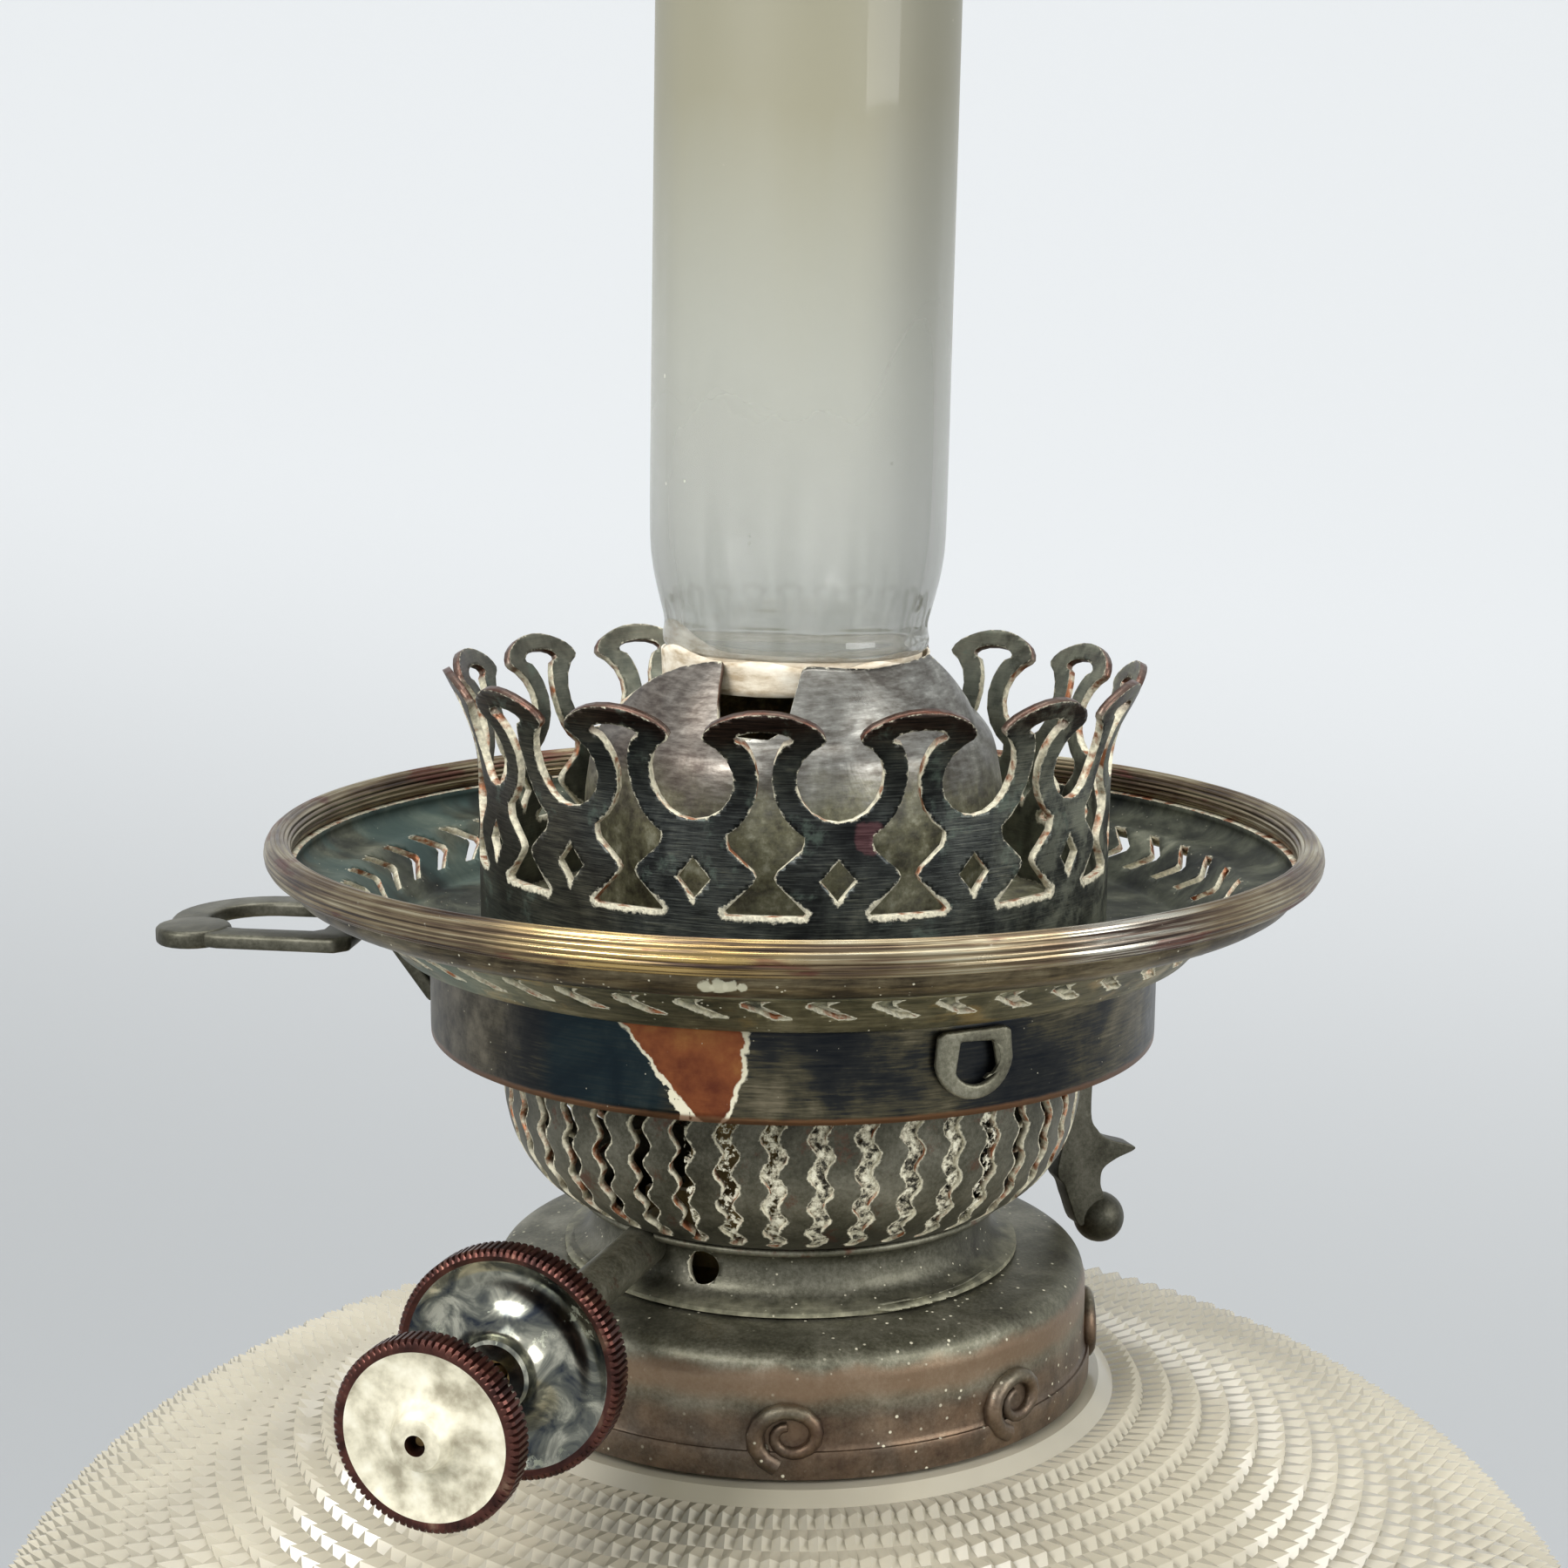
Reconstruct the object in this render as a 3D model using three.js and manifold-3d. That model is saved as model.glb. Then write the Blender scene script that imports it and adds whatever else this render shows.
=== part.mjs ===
// A banquet lamp: a duplex oil burner with its gallery, winders, extinguisher and chimney, on a
// hobnail-cut glass font, a fluted column and a stepped base. Millimetres, +Z up, with the origin
// on the table under the middle of the base. Front is -Y. The burner's own heights are measured
// from the bottom edge of the gallery's skirt.
import * as THREE from "three";
import { mergeVertices } from "three/addons/utils/BufferGeometryUtils.js";
import Module from "manifold-3d";

const wasm = await Module();
wasm.setup();

// Fits that every piece shares
const seat = 0.3;
const running = 0.3;
const overrun = 2;
const weld = 0.0001;

// Facets round the small pins and holes
const pinSides = 12;
const holeSides = 8;

// Stand, from the table up
const felt = { margin: 4, thick: 2 };
const lowerPlinth = { half: 80, height: 18, wall: 9, roof: 5, step: 7 };
const weight = { height: 9, gap: 1, recess: 6 };
const middlePlinth = { half: 64, height: 14, step: 6 };
const pedestal = { half: 43, height: 34, cap: 5, foot: 6, panelDepth: 1.6, panelMargin: 9 };
const columnBase = { radius: 36, height: 18, sides: 14 };
const shaft = { footRadius: 25, headRadius: 21, length: 212, flutes: 16, fluteDepth: 2.4 };
const capital = { radius: 20.6, height: 46, leaves: 8, sides: 12 };
const leaf = { width: 14, lowHeight: 20, highHeight: 33, thick: 1.8, curl: 6.5, sink: 0.9 };
const scroll = { radius: 7, thick: 5, reach: 29.4, steps: 7, shrink: 0.35 };
const abacus = { half: 33, dip: 5, corner: 5, height: 7, hollowShare: 0.75 };
const fontCup = { radius: 34, foot: 21, wall: 3, floor: 5, nutWell: 15, sides: 12 };
const rod = { radius: 4, hole: 4.4, sides: 10 };
const nut = { across: 7.5, height: 6 };
const washer = { radius: 11, thick: 1.5 };

// Glass font, a flattened globe cut all over with raised points
const font = {
  radius: 88, rise: 34.6, drop: 44, footRadius: 24, neckRadius: 24.5, boreRadius: 17.5,
  neckHeight: 5, wall: 4.5, nail: 1.8, columns: 42, rows: 11, shoulder: 33.5, lowLift: -68,
  cavitySides: 12, cavityLift: 70, cavityRows: 5,
};

// Cast collar on the font, with a ring of small scrolls
const collar = {
  radius: 32.3, height: 13.2, bore: 21, cavity: 25, lip: 6.8, sides: 16, scrolls: 8, scrollWidth: 9,
  scrollHeight: 7, scrollProud: 1.4, scrollRise: 1, scrollSteps: 5, scrollShrink: 0.5,
};

// Burner body: the pierced basket, the neck under it and the deck that carries the wick tubes
const basket = {
  radius: 30.8, bottomRadius: 22.6, depth: 17.8, sheet: 0.8,
  slots: 42, slotWidth: 1.9, slotFoot: 3.6, slotHead: 1.4, wave: 0.5, waveSteps: 2, firstSlot: -93.4,
};
const basketRim = { ledge: 33, ledgeHeight: 0.7, rise: 9.5, sheet: 0.8, gap: 0.1, sides: 20 };
const neck = {
  radius: 21.2, flange: 24.6, height: 6.2, wall: 0.8, sides: 16,
  sleeveLength: 6.6, sleeveRadius: 20.6, ventRadius: 1.75, ventAngle: -114.8, ventRise: 3.4,
};
const deck = { level: 4.4, thick: 0.9, holes: 6, holeSides: 6, holeRadius: 2.4, holeCircle: 23 };

// Gallery: the shade tray, its skirt and the pierced coronet, which rise together
const skirt = {
  radius: 38.5, height: 9.5, sheet: 0.8, sides: 36, studRadius: 0.8, studReach: 3.4,
  studAngles: [-150, -30, 90], notchFrom: 124, notchTo: 179, notchTop: 3.1,
};
const tray = {
  floorLevel: 9.8, innerRadius: 27, floorRadius: 41.8, sheet: 0.8, wallRadius: 47.4, wallRise: 5.2,
  lipRadius: 52, lipRise: 8.2, chevrons: 48, chevronAngle: -92.9, chevronWidth: 3, chevronHeight: 4.2,
  chevronThick: 1.6,
};
const trayRim = { radius: 53.7, level: 19.3, bead: 1.5, faces: 5, sides: 36 };
const coronet = {
  radius: 33, sheet: 0.8, units: 15, angle: -82.9, foot: 10.9,
  bandTop: 18.6, footWidth: 6.2, diamondTips: 22.3, tipGap: 0.8, waist: 25.2, waistWidth: 6.4,
  ringCentre: 31.65, ringRadius: 6.3, holeRadius: 4.05, archTop: 36.4, archWidth: 2.4, top: 38.3,
  diamondWide: 3.4, diamondHigh: 4, diamondLevel: 22, capGap: 1.5, capRound: 4.4, holeSteps: 4,
  footSteps: 2,
};
// How far the coronet curls out above its rings, as [share of the curl, share of the height].
const curlOut = 3.8;
const curlShares = [[0, 0], [0.02, 0.62], [0.29, 0.79], [0.6, 0.9], [1, 1]];
// Heights of a ring's outer points, and the sides of a cap as [share of its width, share of its height].
const ringShares = [-0.65, 0, 0.6];
const capShares = [[0, 0.3], [0.22, 0.72], [1, 1]];
const galleryCatch = {
  angle: -64.3, width: 8.6, height: 6.4, level: 5.6, proud: 1.1, eye: 1.7, eyeDrop: 0.4,
};

// Flame dome inside the coronet: its top is torn into tabs, and what is left turns in as a lip
const dome = { flange: 31.4, foot: 21.5, level: 11.6, sheet: 0.7, steps: 24, width: 22, widest: 25 };
const domeLip = { radius: 12.2, height: 37.2 };
const domeTab = { radius: 14.9, height: 40.2 };
const packing = { inner: 11.6, outer: 14, height: 1.7, sides: 16 };

// Chimney glass, which leans a little on the torn dome
const chimney = {
  footRadius: 13.6, radius: 15.4, length: 200, wall: 1.5, shoulder: 9.6, ring: 2.4, lean: 0.7,
  sides: 16, gap: 0.5,
};

// Wicks, their tubes and the extinguisher sleeves that slide on them
const winderAngle = -108.6;
const wick = { width: 23, thick: 2.6, centre: 4.7, top: 28.5, length: 118 };
const wickTube = { wall: 0.5, gap: 0.4, top: 27, bottom: -32, windowLong: 9, windowHigh: 7 };
const sleeve = { wall: 0.5, level: 12, top: 26.2, plate: 1, plateReach: 4.6 };
const pushRod = { radius: 0.8, reach: 11.5, sides: 10 };

// Winders: one spindle runs inside the other, and a gear train takes the inner one across
const winder = { level: -19.55, offset: 9 };
const outerSpindle = { radius: 1.35, bore: 0.95, start: -5, end: 56 };
const innerSpindle = { radius: 0.65, start: -16.4, end: 71.6, sides: 8 };
const counterShaft = { radius: 0.65, start: -16.4, end: 14.2 };
const wickWheel = { core: 2.3, spike: 2.8, spikes: 8, length: 6 };
const gear = { pinionTeeth: 8, idlerTeeth: 16, module: 0.75, tip: 0.5, root: 0.85, width: 1.6, start: -15.2 };
const bracket = { thick: 1, rear: -16.6, front: 13.4, half: 11.2, height: 8, strap: 3.2 };
const housing = { radius: 2.3, start: 14.8, end: 48.2, sides: 12 };
const largeKnob = { radius: 11, width: 3, start: 51.6, hub: 3.4, hubLength: 5.6, web: 1.1, knurls: 11 };
const smallKnob = { radius: 8.7, width: 2.8, start: 68.3, hub: 2.6, hubLength: 4.4, web: 1.1, knurls: 9 };
const knurlDepth = 0.3;

// Gallery lever: a ring with three ramps inside the skirt, and a looped handle outside it
const cam = {
  inner: 31.4, outer: 37.1, level: 1, thick: 1.6, sides: 24, lift: 6, sweep: 40, lead: 2,
  rampInner: 33.4, rampSteps: 4,
};
const loop = {
  angle: 173, tip: 68, start: 46, width: 20, limb: 4, thick: 1.6, stem: 6, stemStart: 34,
  rise: 6.6, riseFrom: 39.2, riseTo: 44, tabRadius: 4, roundSweep: 160, roundSteps: 5,
};

// Extinguisher lever at the right rear
const snuffer = {
  angle: 20, pivotRadius: 34.5, pivotLevel: -5, arm: 2, armReach: 10.4, width: 2.8, pin: 0.7, pinLength: 7,
  ballRadius: 2.9, ballColumns: 10, ballRows: 7, ballReach: 37.2, ballLevel: -26.4, ear: 1,
  windowGap: 0.7, windowHigh: 7,
};

const rad = THREE.MathUtils.degToRad;
const materials = {
  felt: { color: 0x2f3b30, roughness: 0.95, metalness: 0 },
  iron: { color: 0x3a3836, roughness: 0.7, metalness: 0.6 },
  silver: { color: 0x8d8b80, roughness: 0.42, metalness: 0.9 },
  dark: { color: 0x34383c, roughness: 0.45, metalness: 0.85 },
  brown: { color: 0x6e5a47, roughness: 0.4, metalness: 0.85 },
  olive: { color: 0x5a5848, roughness: 0.5, metalness: 0.8 },
  copper: { color: 0x7a4a36, roughness: 0.4, metalness: 0.9 },
  brass: { color: 0xa88a4e, roughness: 0.4, metalness: 0.9 },
  glass: { color: 0xe6e2da, roughness: 0.08, metalness: 0 },
  font: { color: 0xe9ddd0, roughness: 0.15, metalness: 0 },
  card: { color: 0xd8cdb4, roughness: 0.9, metalness: 0 },
  wick: { color: 0xd9d2c0, roughness: 0.95, metalness: 0 },
};

function piece(name, geometry, finish) {
  const mesh = new THREE.Mesh(geometry, new THREE.MeshStandardMaterial(materials[finish]));
  mesh.name = name;
  return mesh;
}

// A closed mesh as a solid. Triangles that shrink to nothing on the axis are left out.
function toSolid(geometry) {
  const loose = geometry.index ? geometry.toNonIndexed() : geometry;
  const bare = new THREE.BufferGeometry().setAttribute("position", loose.getAttribute("position"));
  const merged = mergeVertices(bare, weld);
  const kept = [];
  for (let i = 0; i < merged.index.count; i += 3) {
    const corners = [0, 1, 2].map((k) => merged.index.getX(i + k));
    if (new Set(corners).size === 3) kept.push(...corners);
  }
  const vertProperties = new Float32Array(merged.getAttribute("position").array);
  return new wasm.Manifold(new wasm.Mesh({ numProp: 3, vertProperties, triVerts: new Uint32Array(kept) }));
}

function toGeometry(solid) {
  const mesh = solid.getMesh();
  return new THREE.BufferGeometry()
    .setAttribute("position", new THREE.BufferAttribute(mesh.vertProperties, 3))
    .setIndex(new THREE.BufferAttribute(mesh.triVerts, 1));
}

const joinedSolid = (geometries) => geometries.map(toSolid).reduce((whole, next) => whole.add(next));
const joined = (...geometries) => toGeometry(joinedSolid(geometries));
const carved = (geometry, cutters) => toGeometry(toSolid(geometry).subtract(joinedSolid(cutters)));

// Spins a half section of [radius, height] points round +Z. A section off the axis closes itself.
function turned(section, sides, closed = true) {
  const points = section.map(([radius, height]) => new THREE.Vector2(radius, height));
  if (closed) points.push(points[0].clone());
  return new THREE.LatheGeometry(points, sides).rotateX(Math.PI / 2);
}

// The same on a square plan: radius is half the side, and mouldings are mitred at the corners.
function squareTurned(section, closed = true) {
  const corners = section.map(([half, height]) => [half * Math.SQRT2, height]);
  return turned(corners, 4, closed).rotateZ(Math.PI / 4);
}

function disc(radius, from, to, sides) {
  return turned([[0, from], [radius, from], [radius, to], [0, to]], sides, false);
}

function tubeSection(inner, outer, from, to) {
  return [[inner, from], [outer, from], [outer, to], [inner, to]];
}

// A line of [radius, height] points moved sideways by a distance, mitred at its corners.
function besides(line, distance) {
  const along = line.slice(1).map(([r, z], i) => {
    const step = new THREE.Vector2(r - line[i][0], z - line[i][1]).normalize();
    return new THREE.Vector2(step.y, -step.x);
  });
  return line.map(([r, z], i) => {
    const before = along[Math.max(i - 1, 0)];
    const after = along[Math.min(i, along.length - 1)];
    const both = before.clone().add(after).normalize();
    const stretch = distance / Math.max(both.dot(after), 0.5);
    return [r + both.x * stretch, z + both.y * stretch];
  });
}

// The closed section of a sheet whose outer face follows the line, from its low end to its high end.
const sheetSection = (line, sheet) => [...line, ...besides(line, -sheet).reverse()];

function outline(points, holes = []) {
  const shape = new THREE.Shape(points.map(([x, y]) => new THREE.Vector2(x, y)));
  holes.forEach((hole) => shape.holes.push(new THREE.Path(hole.map(([x, y]) => new THREE.Vector2(x, y)))));
  return shape;
}

const circle = (radius, sides, x = 0, y = 0) => Array.from({ length: sides }, (_, i) => {
  const turn = (i / sides) * 2 * Math.PI;
  return [x + radius * Math.cos(turn), y + radius * Math.sin(turn)];
});

function rectangle(halfWide, from, to) {
  return [[-halfWide, from], [halfWide, from], [halfWide, to], [-halfWide, to]];
}

const mirrored = (half) => [...half, ...half.slice().reverse().map(([x, y]) => [-x, y])];

function extruded(shape, depth) {
  return new THREE.ExtrudeGeometry(shape, { depth, bevelEnabled: false, steps: 1, curveSegments: 1 });
}

// Turns an outline's across, up and depth to run along +Y, +Z and +X.
const standingUp = new THREE.Matrix4().makeBasis(
  new THREE.Vector3(0, 1, 0), new THREE.Vector3(0, 0, 1), new THREE.Vector3(1, 0, 0));

// An outline of [across, up] points pushed outwards from one radius to another, facing an azimuth.
function outward(shape, azimuth, from, to, height = 0) {
  return extruded(shape, to - from).applyMatrix4(standingUp).translate(from, 0, height).rotateZ(rad(azimuth));
}

const spread = (count, make) => Array.from({ length: count }, (_, i) => make((i / count) * 360, i));

function lengthsAlong(line) {
  const runs = [0];
  line.slice(1).forEach(([r, z], i) => runs.push(runs[i] + Math.hypot(r - line[i][0], z - line[i][1])));
  return runs;
}

// A sheet cut flat in equal cells and bent round until it closes. Points of a cell say how far they
// lie across it, in mm, and how far up the line of [radius, height] points that the sheet's outer
// face follows. A cell has one band or more, each an outline with holes. Bands meet at the folds and
// cells at their straight sides, so no wall is kept there.
function bentSheet(line, sheet, count, firstAngle, bands, folds = []) {
  const runs = lengthsAlong(line);
  const faces = [besides(line, -sheet), line];
  const half = Math.max(...bands[0].edge.map(([across]) => across));
  const placeOn = (face, along) => {
    const k = Math.max(1, runs.findIndex((run) => run >= along - weld));
    const share = (along - runs[k - 1]) / (runs[k] - runs[k - 1]);
    return [0, 1].map((axis) => THREE.MathUtils.lerp(face[k - 1][axis], face[k][axis], share));
  };
  const corners = bands.flatMap(({ edge, holes }) => {
    const flat = extruded(outline(edge, holes), 1).getAttribute("position");
    const kept = [];
    for (let i = 0; i < flat.count; i += 3) {
      const three = [i, i + 1, i + 2];
      const onSide = [-half, half].some((side) => three.every((k) => Math.abs(flat.getX(k) - side) < weld));
      const onFold = folds.some((fold) => three.every((k) => Math.abs(flat.getY(k) - fold) < weld));
      if (!onSide && !onFold) kept.push(...three);
    }
    return kept.map((k) => [flat.getX(k) / half, ...placeOn(faces[Math.round(flat.getZ(k))], flat.getY(k))]);
  });
  const placed = Array.from({ length: count }, (_, i) => corners.map(([across, radius, height]) => {
    const turn = rad(firstAngle) + ((i + across / 2) * 2 * Math.PI) / count;
    return [radius * Math.cos(turn), radius * Math.sin(turn), height];
  })).flat(2);
  return new THREE.BufferGeometry()
    .setAttribute("position", new THREE.BufferAttribute(new Float32Array(placed), 3));
}

// The outline of a whole cell: straight sides with a point at each bend of the line.
function plainCell(line, half) {
  const runs = lengthsAlong(line);
  return [...runs.map((along) => [half, along]), ...runs.slice().reverse().map((along) => [-half, along])];
}

// A skin over ribs, each a loop of as many [x, y, z] points that turns the same way. The ribs close
// on the first one, or end in two flat faces.
function skinned(ribs, closed) {
  const corners = [];
  ribs.slice(0, closed ? ribs.length : -1).forEach((rib, i) => {
    const beyond = ribs[(i + 1) % ribs.length];
    rib.forEach((corner, k) => {
      const up = (k + 1) % rib.length;
      corners.push(corner, beyond[k], beyond[up], corner, beyond[up], rib[up]);
    });
  });
  if (!closed) {
    const [first, last] = [ribs[0], ribs.at(-1)];
    for (let k = 1; k < first.length - 1; k++) {
      corners.push(first[0], first[k], first[k + 1], last[0], last[k + 1], last[k]);
    }
  }
  return new THREE.BufferGeometry()
    .setAttribute("position", new THREE.BufferAttribute(new Float32Array(corners.flat()), 3));
}

// Stacked heights of the stand
const level = {};
level.lowerPlinth = felt.thick + seat;
level.middlePlinth = level.lowerPlinth + lowerPlinth.height + seat;
level.pedestal = level.middlePlinth + middlePlinth.height + seat;
level.columnBase = level.pedestal + pedestal.height + seat;
level.shaft = level.columnBase + columnBase.height + seat;
level.capital = level.shaft + shaft.length + seat;
level.abacus = level.capital + capital.height + seat;
level.fontCup = level.abacus + abacus.height + seat;
level.fontFoot = level.fontCup + fontCup.floor + nut.height + washer.thick + seat;
level.equator = level.fontFoot + font.drop * Math.sqrt(1 - (font.footRadius / font.radius) ** 2);
level.collar = level.equator + font.rise * Math.sqrt(1 - (collar.radius / font.radius) ** 2) + seat;
level.neckFoot = level.collar + collar.height + seat;
level.skirt = level.neckFoot + neck.height + seat + basket.depth;

// Where the glass first curves up from its foot, as a [radius, height] point.
const fontHeel = [
  font.radius * Math.cos(rad(font.lowLift)),
  level.equator + font.drop * Math.sin(rad(font.lowLift)),
];

function feltPad() {
  const half = lowerPlinth.half - felt.margin;
  return squareTurned([[0, 0], [half, 0], [half, felt.thick], [0, felt.thick]], false);
}

// Mouldings are [share of the step out from the top, share of the height].
const plinthMouldShares = [[1, 0], [1, 0.42], [0.86, 0.5], [0.8, 0.62], [0.5, 0.72], [0.2, 0.86], [0, 1]];

function mouldedSide(size, bottom) {
  const top = size.half - size.step;
  return plinthMouldShares.map(([out, up]) => [top + size.step * out, bottom + size.height * up]);
}

function lowerPlinthShell() {
  const side = mouldedSide(lowerPlinth, level.lowerPlinth);
  const inner = lowerPlinth.half - lowerPlinth.wall;
  const roof = level.lowerPlinth + lowerPlinth.height - lowerPlinth.roof;
  const inside = [[0, level.middlePlinth - seat], [0, roof], [inner, roof], [inner, level.lowerPlinth]];
  const shell = squareTurned([...side, ...inside]);
  return carved(shell, [disc(rod.hole, roof - overrun, level.middlePlinth + overrun, rod.sides)]);
}

function baseWeight() {
  const half = lowerPlinth.half - lowerPlinth.wall - weight.gap;
  const top = weightBottom + weight.height;
  const block = squareTurned([[0, weightBottom], [half, weightBottom], [half, top], [0, top]], false);
  const bore = disc(rod.hole, weightBottom - overrun, top + overrun, rod.sides);
  const recess = disc(washer.radius + weight.gap, weightBottom - overrun, recessTop, rod.sides);
  return carved(block, [bore, recess]);
}

function middlePlinthBlock() {
  const side = mouldedSide(middlePlinth, level.middlePlinth);
  const block = squareTurned([[0, level.middlePlinth], ...side, [0, level.pedestal - seat]], false);
  return carved(block, [disc(rod.hole, level.middlePlinth - overrun, level.pedestal + overrun, rod.sides)]);
}

function pedestalBlock() {
  const bottom = level.pedestal;
  const top = bottom + pedestal.height;
  const die = pedestal.half - pedestal.cap;
  const block = squareTurned([
    [0, bottom], [pedestal.half, bottom], [pedestal.half, bottom + pedestal.foot / 2],
    [die, bottom + pedestal.foot], [die, top - pedestal.cap], [pedestal.half, top - pedestal.cap / 2],
    [pedestal.half, top], [0, top],
  ], false);
  const panel = rectangle(
    die - pedestal.panelMargin, bottom + pedestal.foot + pedestal.panelMargin / 2,
    top - pedestal.cap - pedestal.panelMargin / 2);
  const panels = spread(4, (turn) => outward(outline(panel), turn, die - pedestal.panelDepth, die + overrun));
  return carved(block, [disc(rod.hole, bottom - overrun, top + overrun, rod.sides), ...panels]);
}

// Half-round torus, hollow and torus of a column's foot, as [share of radius, share of height].
const columnFootShares = [
  [0.96, 0], [1, 0.12], [1, 0.3], [0.95, 0.42], [0.82, 0.52], [0.91, 0.72], [0.89, 0.88], [0.77, 1],
];

function columnFoot() {
  const side = columnFootShares.map(([out, up]) => [
    columnBase.radius * out, level.columnBase + columnBase.height * up]);
  return turned([[rod.hole, level.columnBase], ...side, [rod.hole, level.shaft - seat]], columnBase.sides);
}

// One flute from land to land, as [share of the pitch, share of the depth].
const fluteShares = [[0, 0], [0.16, 0], [0.36, 0.8], [0.8, 0.8]];

function flutedShaft() {
  const pitch = (2 * Math.PI) / shaft.flutes;
  const edge = spread(shaft.flutes, (turn) => fluteShares.map(([across, deep]) => {
    const radius = shaft.footRadius - shaft.fluteDepth * deep;
    const angle = rad(turn) + pitch * across;
    return [radius * Math.cos(angle), radius * Math.sin(angle)];
  })).flat();
  const solid = extruded(outline(edge), shaft.length);
  const place = solid.getAttribute("position");
  const taper = shaft.headRadius / shaft.footRadius;
  for (let i = 0; i < place.count; i++) {
    const narrow = THREE.MathUtils.lerp(1, taper, place.getZ(i) / shaft.length);
    place.setXY(i, place.getX(i) * narrow, place.getY(i) * narrow);
  }
  const bore = disc(rod.hole, -overrun, shaft.length + overrun, rod.sides);
  return carved(solid, [bore]).translate(0, 0, level.shaft);
}

// Half widths of a leaf as shares of its width, from its root to its tip.
const leafShares = [[0.42, 0], [0.5, 0.58], [0.2, 1]];
const bellShares = [[1.03, 0], [1.03, 0.07], [0.95, 0.12], [1, 0.64], [1.38, 1]];

function leafAt(azimuth, height, radius) {
  const half = leafShares.map(([wide, up]) => [leaf.width * wide, height * up]);
  const blade = extruded(outline(mirrored(half)), leaf.thick);
  const place = blade.getAttribute("position");
  for (let i = 0; i < place.count; i++) {
    const up = place.getY(i) / height;
    place.setZ(i, place.getZ(i) + leaf.curl * up ** 3);
  }
  return blade.applyMatrix4(standingUp).translate(radius - leaf.sink, 0, 0).rotateZ(rad(azimuth));
}

// A scroll's outline: a disc whose radius shrinks as it turns in.
function scrollOutline(radius, steps, shrink) {
  return Array.from({ length: steps }, (_, i) => {
    const turn = (i / steps) * 2 * Math.PI;
    const reach = radius * (1 - (shrink * i) / steps);
    return [reach * Math.cos(turn), reach * Math.sin(turn)];
  });
}

function columnCapital() {
  const bell = bellShares.map(([out, up]) => [capital.radius * out, capital.height * up]);
  const body = turned([[rod.hole, 0], ...bell, [rod.hole, capital.height]], capital.sides);
  const low = spread(capital.leaves, (turn) => leafAt(turn, leaf.lowHeight, capital.radius));
  const between = 180 / capital.leaves;
  const high = spread(capital.leaves, (turn) => leafAt(turn + between, leaf.highHeight, capital.radius));
  const spiral = outline(scrollOutline(scroll.radius, scroll.steps, scroll.shrink));
  const scrolls = spread(4, (turn) => extruded(spiral, scroll.thick)
    .translate(0, 0, -scroll.thick / 2)
    .rotateX(Math.PI / 2)
    .translate(scroll.reach, 0, capital.height - scroll.radius - seat)
    .rotateZ(rad(turn + 45)));
  return joined(body, ...low, ...high, ...scrolls).translate(0, 0, level.capital);
}

function abacusPlate() {
  const corner = abacus.half - abacus.corner;
  const hollow = abacus.half - abacus.dip * abacus.hollowShare;
  const side = [[corner, -abacus.half], [abacus.half, -corner], [hollow, -corner / 2],
    [abacus.half - abacus.dip, 0], [hollow, corner / 2]];
  const edge = spread(4, (turn) => side.map(([x, y]) => {
    const spin = rad(turn);
    return [x * Math.cos(spin) - y * Math.sin(spin), x * Math.sin(spin) + y * Math.cos(spin)];
  })).flat();
  return extruded(outline(edge, [circle(rod.hole, rod.sides)]), abacus.height).translate(0, 0, level.abacus);
}

// Outside of the cup under the font, as [share from foot to rim, share of the height].
const cupShares = [[0, 0], [0.1, 0.18], [0.04, 0.3], [0.36, 0.58], [1, 0.9], [1, 1]];

// The cup's rim stops just under the glass, which rises from its foot to its heel.
function fontSeatCup() {
  const spreadOut = fontCup.radius - fontCup.foot;
  const rim = fontCup.radius - fontCup.wall;
  const glassOverRim = THREE.MathUtils.mapLinear(
    rim, font.footRadius, fontHeel[0], level.fontFoot, fontHeel[1]);
  const height = glassOverRim - seat - level.fontCup;
  const outside = cupShares.map(([out, up]) => [fontCup.foot + spreadOut * out, height * up]);
  const shelf = level.fontFoot - level.fontCup - seat;
  const inside = [[rim, height], [font.footRadius, shelf], [fontCup.nutWell, shelf],
    [fontCup.nutWell, fontCup.floor], [rod.hole, fontCup.floor], [rod.hole, 0]];
  return turned([...outside, ...inside], fontCup.sides).translate(0, 0, level.fontCup);
}

function hexNut(bottom) {
  const flat = outline(circle(nut.across, 6), [circle(rod.hole, rod.sides)]);
  return extruded(flat, nut.height).translate(0, 0, bottom);
}

function flatWasher(bottom) {
  return turned(tubeSection(rod.hole, washer.radius, bottom, bottom + washer.thick), pinSides);
}

const weightBottom = level.lowerPlinth + lowerPlinth.height - lowerPlinth.roof - seat - weight.height;
const recessTop = weightBottom + weight.recess;
const lowerNutLevel = recessTop - seat - washer.thick - seat - nut.height;
const upperNutLevel = level.fontCup + fontCup.floor + seat;

function tieRod() {
  return disc(rod.radius, lowerNutLevel, upperNutLevel + nut.height, rod.sides);
}

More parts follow.
